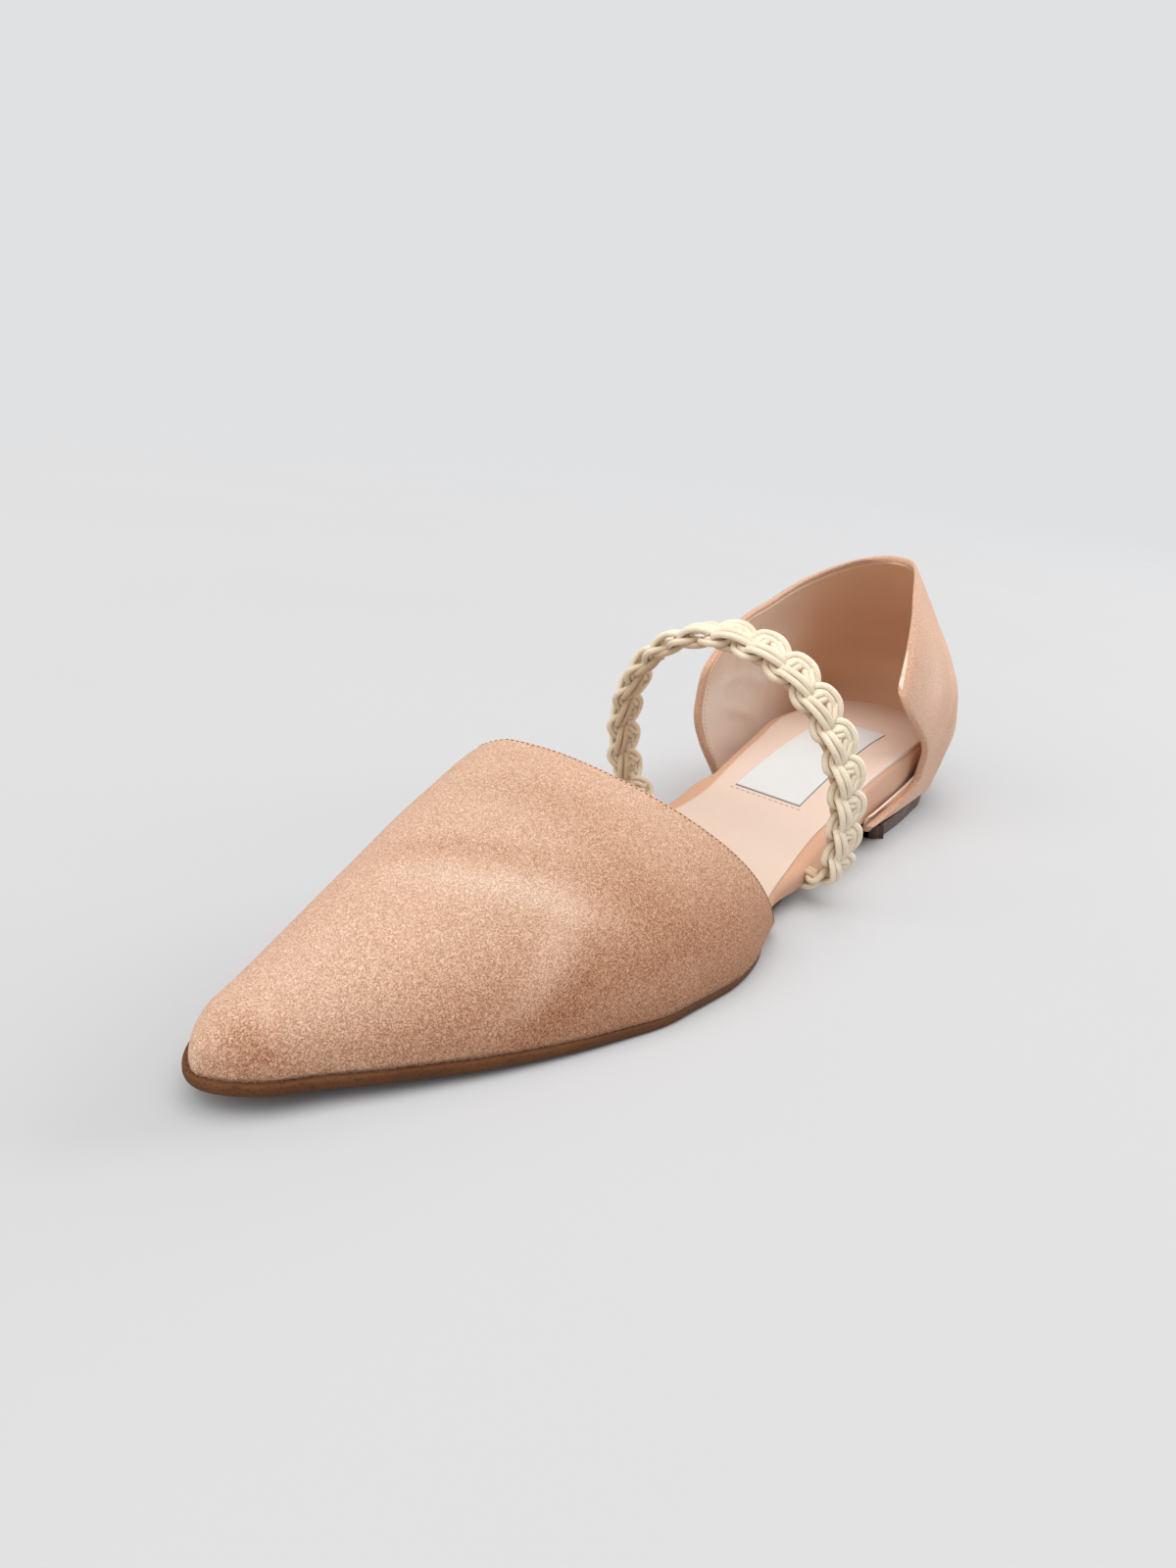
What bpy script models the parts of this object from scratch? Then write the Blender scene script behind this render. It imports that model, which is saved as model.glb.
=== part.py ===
"""Pointed flat for the left foot, with a separate heel cup and a braided strap.

Frame: +Y points to the toe, +X to the inner side of the foot, +Z up. The origin lies on
the floor, on the heel's tread. Every length is in metres.
"""

import math
from typing import NamedTuple

import bmesh
import bpy
import numpy as np
from mathutils import Vector

MM = 0.001

# Driving sizes of the last
LENGTH = 268 * MM
ORIGIN_FROM_BACK = 26 * MM
BALL_WIDTH = 69 * MM
HEEL_WIDTH = 49 * MM
HEEL_ROUND = 26 * MM
TOE_ROUND = 9 * MM
SEAT_HEIGHT = 24.8 * MM
BALL_HEIGHT = 5.2 * MM
INSTEP_HEIGHT = 43 * MM
TOE_SPRING = 4.2 * MM
FLAT_START, FLAT_END = 0.600, 0.739
CUP_HEIGHT = 76 * MM

# Driving sizes of the pieces
GAP = 0.3 * MM
UPPER_WALL = 1.8 * MM
SOLE_THICKNESS = 2.4 * MM
SOLE_BEVEL = 0.5 * MM
SOLE_FLANGE = 0.9 * MM
SOLE_WAIST_INSET = 2.6 * MM
HEEL_BLOCK_HEIGHT = 5.4 * MM
HEEL_BLOCK_LENGTH = 69 * MM
HEEL_BLOCK_INSET = 0.9 * MM
HEEL_BLOCK_TAPER = 1.2 * MM
BREAST_SLANT = 3 * MM
BAND_ROUND = 2.6 * MM
SOCK_THICKNESS = 0.8 * MM
SOCK_INSET = 3.3 * MM
LABEL_LENGTH = 62 * MM
LABEL_WIDTH = 19 * MM
LABEL_THICKNESS = 0.5 * MM
LABEL_ALONG = 0.269
LABEL_SIDE_SHIFT = 1.7 * MM
STRAP_WIDTH = 12.2 * MM
STRAP_STRIP_WIDTH = 4 * MM
STRAP_WALL = 1.6 * MM
STRAP_RAISE = 1.5 * MM
STRAP_SPAN = 65 * MM
STRAP_TOP = 64 * MM
STRAP_WIDEST = 27 * MM
STRAP_ALONG = 0.446
STRAP_LEAN = math.radians(16.7)
STRAP_TAB_FADE = 12 * MM
STRAP_TAB_WALL = 1.2 * MM
STRAP_TAB_WIDTH = 9 * MM
STRAP_TAB_REACH = 4.5 * MM
SLOT_MARGIN = 2 * MM
STRAP_REPEATS = 17

# How finely the surfaces are divided
HEEL_STEPS = 6
BODY_STEPS = 24
TOE_STEPS = 4
VAMP_ROUND_STEPS = 24
VAMP_LONG_STEPS = 18
CUP_ROUND_STEPS = 26
CUP_HIGH_STEPS = 9
STRAP_STEPS_PER_REPEAT = 6
STRAP_STEPS_ACROSS = 8
STRAP_HOLE_CELLS = (1, 6)
STRAP_HOLE_STEPS = (2, 3)
LABEL_STEPS = 10

BACK = -ORIGIN_FROM_BACK
TIP = BACK + LENGTH
OUTER, INNER = -1, 1


class Plan(NamedTuple):
    """One station of the last's outline, seen from above."""

    along: float  # share of LENGTH from the back
    centre: float  # share of BALL_WIDTH towards the inner side
    heel: float  # share of HEEL_WIDTH in the half width
    ball: float  # share of BALL_WIDTH in the half width


OUTLINE = (
    Plan(0.000, 0.000, 0.470, 0.000),
    Plan(0.097, 0.000, 0.482, 0.000),
    Plan(0.190, 0.000, 0.502, 0.000),
    Plan(0.284, -0.017, 0.469, 0.000),
    Plan(0.396, -0.032, 0.439, 0.000),
    Plan(0.489, -0.023, 0.235, 0.166),
    Plan(0.582, 0.003, 0.000, 0.423),
    Plan(0.657, 0.046, 0.000, 0.493),
    Plan(0.713, 0.081, 0.000, 0.496),
    Plan(0.769, 0.107, 0.000, 0.452),
    Plan(0.843, 0.136, 0.000, 0.359),
    Plan(0.910, 0.165, 0.000, 0.248),
    Plan(0.959, 0.186, 0.000, 0.157),
    Plan(1.000, 0.194, 0.000, 0.094),
)


class Bed(NamedTuple):
    """One station of the sock's height, as shares of the heights that it follows."""

    along: float  # share of LENGTH from the back
    seat: float  # share of SEAT_HEIGHT
    ball: float  # share of BALL_HEIGHT
    spring: float  # share of TOE_SPRING


FOOTBED = (
    Bed(0.000, 1.01, 0.00, 0.00),
    Bed(0.172, 1.00, 0.00, 0.00),
    Bed(0.284, 0.86, 0.14, 0.00),
    Bed(0.396, 0.55, 0.45, 0.00),
    Bed(0.489, 0.23, 0.77, 0.00),
    Bed(0.582, 0.03, 0.97, 0.00),
    Bed(0.657, 0.00, 1.00, 0.00),
    Bed(0.739, 0.00, 1.00, 0.00),
    Bed(0.843, 0.00, 1.00, 0.32),
    Bed(1.000, 0.00, 1.00, 1.00),
)


class Crest(NamedTuple):
    """One station of the vamp's ridge, with the fullness of the sides under it."""

    along: float
    height: float  # share of INSTEP_HEIGHT above the floor
    shift: float  # share of BALL_WIDTH from the outline's centre to the inner side
    bulge: float  # share of BALL_WIDTH that the outer side swells past the feather
    fullness: float  # exponent of the section, 2 is an ellipse


RIDGE = (
    Crest(0.520, 0.97, 0.290, 0.020, 2.10),
    Crest(0.620, 0.99, 0.280, 0.042, 1.98),
    Crest(0.690, 0.99, 0.255, 0.036, 1.95),
    Crest(0.769, 0.86, 0.170, 0.022, 1.96),
    Crest(0.843, 0.67, 0.095, 0.010, 2.00),
    Crest(0.910, 0.50, 0.045, 0.004, 2.00),
    Crest(0.959, 0.39, 0.015, 0.000, 2.05),
    Crest(1.000, 0.33, 0.000, 0.000, 2.20),
)


class Throat(NamedTuple):
    """One point of the vamp's open edge, from the outer feather over to the inner one."""

    around: float  # 0 at the outer feather, 0.5 on the ridge, 1 at the inner feather
    along: float  # share of LENGTH from the back


THROAT = (
    Throat(0.00, 0.537),
    Throat(0.10, 0.585),
    Throat(0.20, 0.620),
    Throat(0.32, 0.658),
    Throat(0.43, 0.686),
    Throat(0.52, 0.704),
    Throat(0.58, 0.709),
    Throat(0.66, 0.700),
    Throat(0.80, 0.660),
    Throat(1.00, 0.575),
)


class CupRow(NamedTuple):
    """One level of the heel cup's form."""

    height: float  # share of CUP_HEIGHT
    back: float  # share of CUP_HEIGHT behind the outline's back
    half: float  # share of HEEL_WIDTH, half the width where the cup is widest
    round: float  # share of HEEL_ROUND from the back to there


CUP = (
    CupRow(0.10, 0.000, 0.502, 1.00),
    CupRow(0.24, 0.055, 0.537, 1.17),
    CupRow(0.37, 0.092, 0.561, 1.35),
    CupRow(0.50, 0.078, 0.561, 1.70),
    CupRow(0.66, -0.015, 0.540, 2.05),
    CupRow(0.82, -0.185, 0.500, 2.22),
    CupRow(1.00, -0.410, 0.475, 2.28),
)


class CupTop(NamedTuple):
    """One point of the cup's top line on one side."""

    along: float  # share of LENGTH from the back
    height: float  # share of CUP_HEIGHT


CUP_TOP = {
    OUTER: (CupTop(0.000, 1.03), CupTop(0.10, 0.975), CupTop(0.20, 0.915),
            CupTop(0.28, 0.800), CupTop(0.32, 0.700)),
    INNER: (CupTop(0.000, 1.03), CupTop(0.15, 0.905), CupTop(0.23, 0.838),
            CupTop(0.31, 0.785), CupTop(0.355, 0.690)),
}


class CupFront(NamedTuple):
    """One point of the cup's front edge on one side, from the feather to the top."""

    up: float  # share of the edge's own height
    along: float  # share of LENGTH from the back


CUP_FRONT = {
    OUTER: (CupFront(0.00, 0.290), CupFront(0.09, 0.258), CupFront(0.20, 0.228),
            CupFront(0.33, 0.212), CupFront(0.50, 0.226), CupFront(0.70, 0.270),
            CupFront(0.88, 0.306), CupFront(1.00, 0.312)),
    INNER: (CupFront(0.00, 0.312), CupFront(0.15, 0.333), CupFront(0.35, 0.362),
            CupFront(0.60, 0.385), CupFront(0.80, 0.386), CupFront(1.00, 0.362)),
}

# Where the footbed's band reaches the outline, as shares of LENGTH: it narrows to fit
# inside the cup behind the first pair and inside the vamp ahead of the second.
BAND_REACH = {
    OUTER: (0.300, 0.345, 0.462, 0.518),
    INNER: (0.362, 0.405, 0.495, 0.552),
}


def smooth(x, xs, ys):
    """Return the curve through the points (xs, ys) at x, which never overshoots them."""
    xs, ys = np.asarray(xs, float), np.asarray(ys, float)
    step = np.diff(xs)
    slope = np.diff(ys) / step
    tangent = np.zeros_like(ys)
    tangent[0], tangent[-1] = slope[0], slope[-1]
    for i in range(1, len(xs) - 1):
        if slope[i - 1] * slope[i] > 0:
            tangent[i] = 2 / (1 / slope[i - 1] + 1 / slope[i])
    i = int(np.clip(np.searchsorted(xs, x) - 1, 0, len(xs) - 2))
    t = min(max((x - xs[i]) / step[i], 0), 1)
    return ((1 + 2 * t) * (1 - t) ** 2 * ys[i] + t * t * (3 - 2 * t) * ys[i + 1]
            + step[i] * t * (1 - t) * ((1 - t) * tangent[i] - t * tangent[i + 1]))


def ease(x, start, end):
    """Return 0 before start, 1 after end and a smooth step between them."""
    t = min(max((x - start) / (end - start), 0), 1)
    return t * t * (3 - 2 * t)


def column(table, name):
    """Return one named column of a table as a list."""
    return [getattr(row, name) for row in table]


def share(y):
    """Return how far along the shoe y lies, as a share of its length."""
    return (y - BACK) / LENGTH


def at(along):
    """Return the y that lies at a share of the shoe's length."""
    return BACK + along * LENGTH


def sole_bottom(y):
    """Return the sole's underside: on the heel block, falling through the arch to the
    flat forefoot, and rising to the toe."""
    fall = ease(y, BACK + HEEL_BLOCK_LENGTH, at(FLAT_START))
    spring = max(0, (share(y) - FLAT_END) / (1 - FLAT_END)) ** 1.4
    return HEEL_BLOCK_HEIGHT * (1 - fall) + TOE_SPRING * spring


def feather(y):
    """Return the height of the sole's upper face, on which upper and footbed stand."""
    return sole_bottom(y) + SOLE_THICKNESS


def sock_top(y):
    heights = [row.seat * SEAT_HEIGHT + row.ball * BALL_HEIGHT + row.spring * TOE_SPRING
               for row in FOOTBED]
    return smooth(share(y), column(FOOTBED, "along"), heights)


def bed_top(y):
    return sock_top(y) - SOCK_THICKNESS - GAP


def bed_bottom(y):
    return feather(y) + GAP


def body_width(y):
    """Return the outline's centre and half width at y, before its ends are rounded."""
    shares = column(OUTLINE, "along")
    half = [row.heel * HEEL_WIDTH + row.ball * BALL_WIDTH for row in OUTLINE]
    centre = smooth(share(y), shares, column(OUTLINE, "centre")) * BALL_WIDTH
    return centre, smooth(share(y), shares, half)


def rounding(distance, radius):
    """Return the share of the full width at a distance from a round end."""
    t = min(max(1 - distance / radius, 0), 1)
    return math.sqrt(max(1 - t * t, 0))


def outline_point(y, side):
    """Return the outline's point at y on one side."""
    centre, half = body_width(y)
    half *= rounding(y - BACK, HEEL_ROUND) * rounding(TIP - y, TOE_ROUND)
    return Vector((centre + side * half, y, 0))


def stations(start=BACK, end=TIP):
    """Return the y of each station from start to end, closer together at round ends."""
    quarter = math.pi / 2
    heel = [start + HEEL_ROUND * (1 - math.cos(quarter * i / HEEL_STEPS))
            for i in range(HEEL_STEPS)]
    first = start + HEEL_ROUND
    if end < TIP:
        steps = max(2, round(BODY_STEPS * (end - first) / LENGTH))
        return heel + list(np.linspace(first, end, steps + 1))
    last = TIP - TOE_ROUND
    toe = [TIP - TOE_ROUND * (1 - math.cos(quarter * i / TOE_STEPS))
           for i in range(TOE_STEPS - 1, -1, -1)]
    return heel + list(np.linspace(first, last, BODY_STEPS + 1)) + toe


def offset_side(ys, side, inset):
    """Return one side of the outline moved inwards by inset(y, side), heel to toe."""
    points = [outline_point(y, side) for y in ys]
    moved = []
    for i, point in enumerate(points):
        before = points[max(i - 1, 0)]
        after = points[min(i + 1, len(points) - 1)]
        along = (after - before).normalized()
        outward = Vector((along.y, -along.x, 0)) * side
        if i == 0 and ys[0] == BACK:
            outward = Vector((0, -1, 0))
        if i == len(points) - 1 and ys[-1] == TIP:
            outward = Vector((0, 1, 0))
        moved.append(point - outward * inset(point.y, side))
    return moved


def new_object(name, bm, material, collection, parent):
    """Make a named object from a bmesh, smooth over all but its sharp edges."""
    bmesh.ops.remove_doubles(bm, verts=bm.verts, dist=0.001 * MM)
    bmesh.ops.recalc_face_normals(bm, faces=bm.faces)
    mesh = bpy.data.meshes.new(name)
    bm.to_mesh(mesh)
    bm.free()
    mesh.shade_smooth()
    mesh.set_sharp_from_angle(angle=math.radians(40))
    mesh.materials.append(material)
    obj = bpy.data.objects.new(name, mesh)
    obj.parent = parent
    collection.objects.link(obj)
    return obj


def slab(levels, ys, open_front=False):
    """Loft a closed body up through copies of the outline.

    Each level is an inset and a height, both functions of the place along the shoe.
    With open_front the last station is a straight front face instead of a round tip.
    """
    bm = bmesh.new()
    loops = []
    for inset, height in levels:
        outer = offset_side(ys, OUTER, inset)
        inner = offset_side(ys, INNER, inset)
        sides = []
        for side in (outer, inner):
            sides.append([bm.verts.new((p.x, p.y, height(p.y))) for p in side])
        loops.append(sides)
    for low, high in zip(loops, loops[1:]):
        for side in (0, 1):
            for a, b, c, d in zip(low[side], low[side][1:], high[side][1:], high[side]):
                bm.faces.new((a, b, c, d))
        if open_front:
            bm.faces.new((low[0][-1], low[1][-1], high[1][-1], high[0][-1]))
    for outer, inner in (loops[0], loops[-1]):
        for a, b, c, d in zip(outer, outer[1:], inner[1:], inner):
            bm.faces.new((a, b, c, d))
    return bm


def thick_sheet(front, back, kept=None):
    """Close two matching grids of points into one wall, with walls around its holes."""
    bm = bmesh.new()
    rows, columns = len(front), len(front[0])
    face = [[bm.verts.new(p) for p in row] for row in front]
    rear = [[bm.verts.new(p) for p in row] for row in back]

    def solid(i, j):
        inside = 0 <= i < rows - 1 and 0 <= j < columns - 1
        return inside and (kept is None or kept(i, j))

    for i in range(rows - 1):
        for j in range(columns - 1):
            if not solid(i, j):
                continue
            corners = ((i, j), (i, j + 1), (i + 1, j + 1), (i + 1, j))
            bm.faces.new([face[a][b] for a, b in corners])
            bm.faces.new([rear[a][b] for a, b in reversed(corners)])
            beyond = ((i - 1, j), (i, j + 1), (i + 1, j), (i, j - 1))
            for k, cell in enumerate(beyond):
                if not solid(*cell):
                    (a, b), (c, d) = corners[k], corners[(k + 1) % 4]
                    bm.faces.new((face[c][d], face[a][b], rear[a][b], rear[c][d]))
    return bm


def sole_inset(y, _side):
    """Return how far the sole's edge lies inside the outline: it stands proud ahead."""
    waist = ease(share(y), 0.20, 0.30) * (1 - ease(share(y), 0.50, 0.60))
    fore = ease(share(y), 0.50, 0.60)
    return HEEL_BLOCK_INSET * (1 - waist - fore) + SOLE_WAIST_INSET * waist - SOLE_FLANGE * fore


def make_outsole(material, collection, parent):
    levels = (
        (lambda y, s: sole_inset(y, s) + SOLE_BEVEL, sole_bottom),
        (sole_inset, lambda y: sole_bottom(y) + SOLE_BEVEL),
        (sole_inset, feather),
    )
    return new_object("outsole", slab(levels, stations()), material, collection, parent)


def make_heel(material, collection, parent):
    """Make the heel block: it tapers to the floor and its breast slants back."""
    top = HEEL_BLOCK_HEIGHT - GAP
    front = BACK + HEEL_BLOCK_LENGTH
    bm = slab((
        (lambda y, s: HEEL_BLOCK_INSET + HEEL_BLOCK_TAPER, lambda y: 0),
        (lambda y, s: HEEL_BLOCK_INSET, lambda y: top),
    ), stations(BACK, front), open_front=True)
    for vert in bm.verts:
        reach = (vert.co.y - BACK) / HEEL_BLOCK_LENGTH
        vert.co.y -= BREAST_SLANT * reach * (1 - vert.co.z / top)
    return new_object("heel", bm, material, collection, parent)


def band_inset(y, side):
    """Return the footbed's inset: nothing in the waist, inside the walls elsewhere."""
    a, b, c, d = BAND_REACH[side]
    in_waist = ease(share(y), a, b) * (1 - ease(share(y), c, d))
    return (UPPER_WALL + 2 * GAP) * (1 - in_waist)


def band_round(y):
    return min(BAND_ROUND, 0.5 * (bed_top(y) - bed_bottom(y)))


def strap_slot(side):
    """Make the cutter for the slot in which one end of the strap lies."""
    width = STRAP_TAB_WIDTH + 4 * GAP
    y = at(STRAP_ALONG)
    edge = abs(outline_point(y, side).x)
    floor = bed_bottom(y) - SLOT_MARGIN
    roof = strap_path(strap_angle(side, edge)).z + STRAP_TAB_WALL / 2 + 2 * GAP
    inner, outer = edge - STRAP_TAB_REACH - 2 * GAP, edge + SLOT_MARGIN
    bm = bmesh.new()
    bmesh.ops.create_cube(bm, size=1)
    centre = Vector((side * (inner + outer) / 2, y, (floor + roof) / 2))
    bmesh.ops.scale(bm, vec=(outer - inner, width, roof - floor), verts=bm.verts)
    bmesh.ops.translate(bm, vec=centre, verts=bm.verts)
    mesh = bpy.data.meshes.new("slot")
    bm.to_mesh(mesh)
    bm.free()
    cutter = bpy.data.objects.new("slot_cutter", mesh)
    cutter.hide_render = True
    cutter.display_type = "WIRE"
    return cutter


def make_platform(material, collection, cutters, parent):
    """Make the footbed's body: a wedge with a rounded band, slotted for the strap."""
    diagonal = 1 - math.sqrt(0.5)
    levels = (
        (lambda y, s: band_inset(y, s) + 0.5 * band_round(y), bed_bottom),
        (band_inset, lambda y: bed_bottom(y) + 0.4 * band_round(y)),
        (band_inset, lambda y: bed_top(y) - band_round(y)),
        (lambda y, s: band_inset(y, s) + diagonal * band_round(y),
         lambda y: bed_top(y) - diagonal * band_round(y)),
        (lambda y, s: band_inset(y, s) + band_round(y), bed_top),
    )
    platform = new_object("platform", slab(levels, stations()), material, collection, parent)
    for side in (OUTER, INNER):
        cutter = strap_slot(side)
        cutters.objects.link(cutter)
        cut = platform.modifiers.new("slot", "BOOLEAN")
        cut.object = cutter
    return platform


def make_sock(material, collection, parent):
    levels = (
        (lambda y, s: SOCK_INSET, lambda y: bed_top(y) + GAP),
        (lambda y, s: SOCK_INSET, lambda y: sock_top(y) - 0.3 * SOCK_THICKNESS),
        (lambda y, s: SOCK_INSET + 0.3 * SOCK_THICKNESS, sock_top),
    )
    return new_object("sock", slab(levels, stations()), material, collection, parent)


def make_label(material, collection, parent):
    """Make the bare oblong patch, bent to the sock's slope."""
    bm = bmesh.new()
    bmesh.ops.create_grid(bm, x_segments=2, y_segments=LABEL_STEPS, size=0.5)
    bmesh.ops.scale(bm, vec=(LABEL_WIDTH, LABEL_LENGTH, 1), verts=bm.verts)
    middle = at(LABEL_ALONG)
    for vert in bm.verts:
        vert.co.x -= LABEL_SIDE_SHIFT
        vert.co.y += middle
        vert.co.z = sock_top(vert.co.y) + GAP
    label = new_object("label", bm, material, collection, parent)
    wall = label.modifiers.new("wall", "SOLIDIFY")
    wall.thickness = LABEL_THICKNESS
    wall.offset = 1
    return label


def vamp_point(around, along, inset):
    """Return a point of the vamp's form, inset by a wall.

    around runs from the outer feather over the ridge to the inner one, along from the
    throat to the tip.
    """
    rows = column(RIDGE, "along")
    throat = at(smooth(around, column(THROAT, "around"), column(THROAT, "along")))
    tip = TIP - inset
    y = throat + (tip - throat) * along
    centre, half = body_width(y)
    end = rounding(tip - y, TOE_ROUND)
    half = (half - inset) * end
    base = feather(y) + GAP
    top = smooth(share(y), rows, column(RIDGE, "height")) * INSTEP_HEIGHT - inset
    rise = (top - base) * end ** 0.55
    shift = smooth(share(y), rows, column(RIDGE, "shift")) * BALL_WIDTH * end
    bulge = smooth(share(y), rows, column(RIDGE, "bulge")) * BALL_WIDTH
    power = 2 / smooth(share(y), rows, column(RIDGE, "fullness"))
    angle = math.pi * around
    across = abs(math.cos(angle)) ** power
    up = max(math.sin(angle), 0) ** power
    side = OUTER if around < 0.5 else INNER
    reach = half - side * shift
    swell = bulge * math.sin(2 * angle) if side == OUTER else 0
    x = centre + shift + side * (reach * across + swell)
    return Vector((x, y, base + rise * up))


def make_vamp(material, collection, parent):
    """Make the front upper, open at the throat and underneath."""
    def grid(inset):
        steps = range(VAMP_ROUND_STEPS + 1)
        quarter = math.pi / 2
        alongs = [math.sin(quarter * i / VAMP_LONG_STEPS) ** 1.15
                  for i in range(VAMP_LONG_STEPS + 1)]
        return [[vamp_point(i / VAMP_ROUND_STEPS, a, inset) for a in alongs] for i in steps]

    bm = thick_sheet(grid(0), grid(UPPER_WALL))
    return new_object("vamp", bm, material, collection, parent)


def cup_point(around, up, inset):
    """Return a point of the heel cup's form, inset by a wall.

    around runs from -1 at the outer front edge, by 0 at the back, to 1 at the inner
    front edge, and up from the feather to the top line.
    """
    side = OUTER if around < 0 else INNER
    heights = [row.height * CUP_HEIGHT for row in CUP]
    top_line, front_line = CUP_TOP[side], CUP_FRONT[side]
    reach = abs(around) ** 1.8
    front = at(smooth(up, column(front_line, "up"), column(front_line, "along")))
    nominal = top_line[-1].along * reach
    top = smooth(nominal, column(top_line, "along"), column(top_line, "height"))
    base = feather(BACK) + GAP
    z = base + up * (top * CUP_HEIGHT - base)
    behind = smooth(z, heights, column(CUP, "back")) * CUP_HEIGHT
    half = smooth(z, heights, column(CUP, "half")) * HEEL_WIDTH - inset
    length = smooth(z, heights, column(CUP, "round")) * HEEL_ROUND
    back = BACK - behind + inset
    y = back + (front - back) * reach
    if up == 0:
        z = feather(y) + GAP
    centre = body_width(y)[0]
    return Vector((centre + side * half * rounding(y - back, length), y, z))


def make_counter(material, collection, parent):
    """Make the heel cup, open at the top, ahead and underneath."""
    def grid(inset):
        rounds = [2 * i / CUP_ROUND_STEPS - 1 for i in range(CUP_ROUND_STEPS + 1)]
        ups = [i / CUP_HIGH_STEPS for i in range(CUP_HIGH_STEPS + 1)]
        return [[cup_point(a, u, inset) for u in ups] for a in rounds]

    bm = thick_sheet(grid(0), grid(UPPER_WALL))
    return new_object("counter", bm, material, collection, parent)


def strap_tab_height():
    """Return the height of the strap's middle where it lies on the sole."""
    return feather(at(STRAP_ALONG)) + GAP + STRAP_TAB_WALL / 2


def strap_path(angle):
    """Return the strap's centre line at an angle round its arch, 0 at the outer side."""
    half = STRAP_SPAN / 2
    if 0 <= angle <= math.pi:
        x = -half * math.cos(angle)
        z = STRAP_WIDEST + (STRAP_TOP - STRAP_WIDEST) * math.sin(angle)
    else:
        below = -angle if angle < 0 else angle - math.pi
        side = OUTER if angle < 0 else INNER
        x = side * half * math.cos(below) ** 0.5
        z = STRAP_WIDEST - (STRAP_WIDEST - strap_tab_height()) * math.sin(below) ** 0.35
    y = at(STRAP_ALONG) + (z - strap_tab_height()) * math.tan(STRAP_LEAN)
    return Vector((x, y, z))


def strap_angle(side, x):
    """Return the angle round the arch at which its lower part is x from the middle."""
    below = math.acos((x / (STRAP_SPAN / 2)) ** 2)
    return -below if side == OUTER else math.pi + below


def strap_stations(count):
    """Return places along the strap's centre line at even steps, with their distances."""
    ends = []
    for side in (OUTER, INNER):
        edge = abs(outline_point(at(STRAP_ALONG), side).x)
        ends.append(strap_angle(side, edge - STRAP_TAB_REACH))
    fine = np.linspace(*ends, 721)
    points = [strap_path(a) for a in fine]
    steps = [(b - a).length for a, b in zip(points, points[1:])]
    run = np.concatenate(([0], np.cumsum(steps)))
    wanted = np.linspace(0, run[-1], count + 1)
    places = [[np.interp(w, run, [p[k] for p in points]) for k in range(3)] for w in wanted]
    return [Vector(p) for p in places], wanted


def braid_relief(beat, place, face):
    """Return how far the braid's strips stand out of one face, from 0 to 1.

    Three strips swing from edge to edge, a third of a turn apart, and each lies on the
    face while it crosses one half of the band and on the other face after that. beat
    counts repeats along the band and place runs from -1 to 1 across it.
    """
    swing = 1 - STRAP_STRIP_WIDTH / STRAP_WIDTH
    high = 0
    for strip in range(3):
        turn = 2 * math.pi * (beat + strip) / 3
        away = (place - swing * math.sin(turn)) * STRAP_WIDTH / STRAP_STRIP_WIDTH
        cover = max(0, 1 - away * away)
        high = max(high, cover * max(0.15, face * math.sin(2 * turn)))
    return high


def make_strap(material, collection, parent):
    """Make the braided band: a wall with scalloped edges, raised strips and gaps.

    It arches over the foot with its faces looking in and out, and its plain ends lie
    flat on the sole.
    """
    count = STRAP_REPEATS * STRAP_STEPS_PER_REPEAT
    points, run = strap_stations(count)
    lean = Vector((0, math.cos(STRAP_LEAN), -math.sin(STRAP_LEAN)))
    level = Vector((0, 1, 0))
    front, back = [], []
    for i, point in enumerate(points):
        tangent = (points[min(i + 1, count)] - points[max(i - 1, 0)]).normalized()
        end = min(run[i], run[-1] - run[i])
        free = ease(end, STRAP_TAB_REACH, STRAP_TAB_REACH + STRAP_TAB_FADE)
        sideways = level.lerp(lean, free)
        sideways = (sideways - tangent * sideways.dot(tangent)).normalized()
        normal = tangent.cross(sideways)
        beat = i / STRAP_STEPS_PER_REPEAT
        scallop = 0.93 + 0.07 * math.cos(2 * math.pi * beat)
        half = (STRAP_TAB_WIDTH + (STRAP_WIDTH * scallop - STRAP_TAB_WIDTH) * free) / 2
        wall = (STRAP_TAB_WALL + (STRAP_WALL - STRAP_TAB_WALL) * free) / 2
        front_row, back_row = [], []
        for j in range(STRAP_STEPS_ACROSS + 1):
            place = 2 * j / STRAP_STEPS_ACROSS - 1
            middle = point + sideways * half * place
            raised = STRAP_RAISE * free
            front_row.append(middle + normal * (wall + raised * braid_relief(beat, place, 1)))
            back_row.append(middle - normal * (wall + raised * braid_relief(beat, place, -1)))
        front.append(front_row)
        back.append(back_row)

    def kept(i, j):
        plain = 2 * STRAP_STEPS_PER_REPEAT
        phase = i % STRAP_STEPS_PER_REPEAT
        hole = (j in STRAP_HOLE_CELLS) and phase in STRAP_HOLE_STEPS
        return i < plain or i >= count - plain or not hole

    bm = thick_sheet(front, back, kept)
    return new_object("strap", bm, material, collection, parent)


def make_material(name, colour, roughness):
    """Make a Principled material of one colour."""
    material = bpy.data.materials.new(name)
    material.use_nodes = True
    shader = material.node_tree.nodes["Principled BSDF"]
    shader.inputs["Base Color"].default_value = (*colour, 1)
    shader.inputs["Roughness"].default_value = roughness
    shader.inputs["Metallic"].default_value = 0
    material.diffuse_color = (*colour, 1)
    return material


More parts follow.
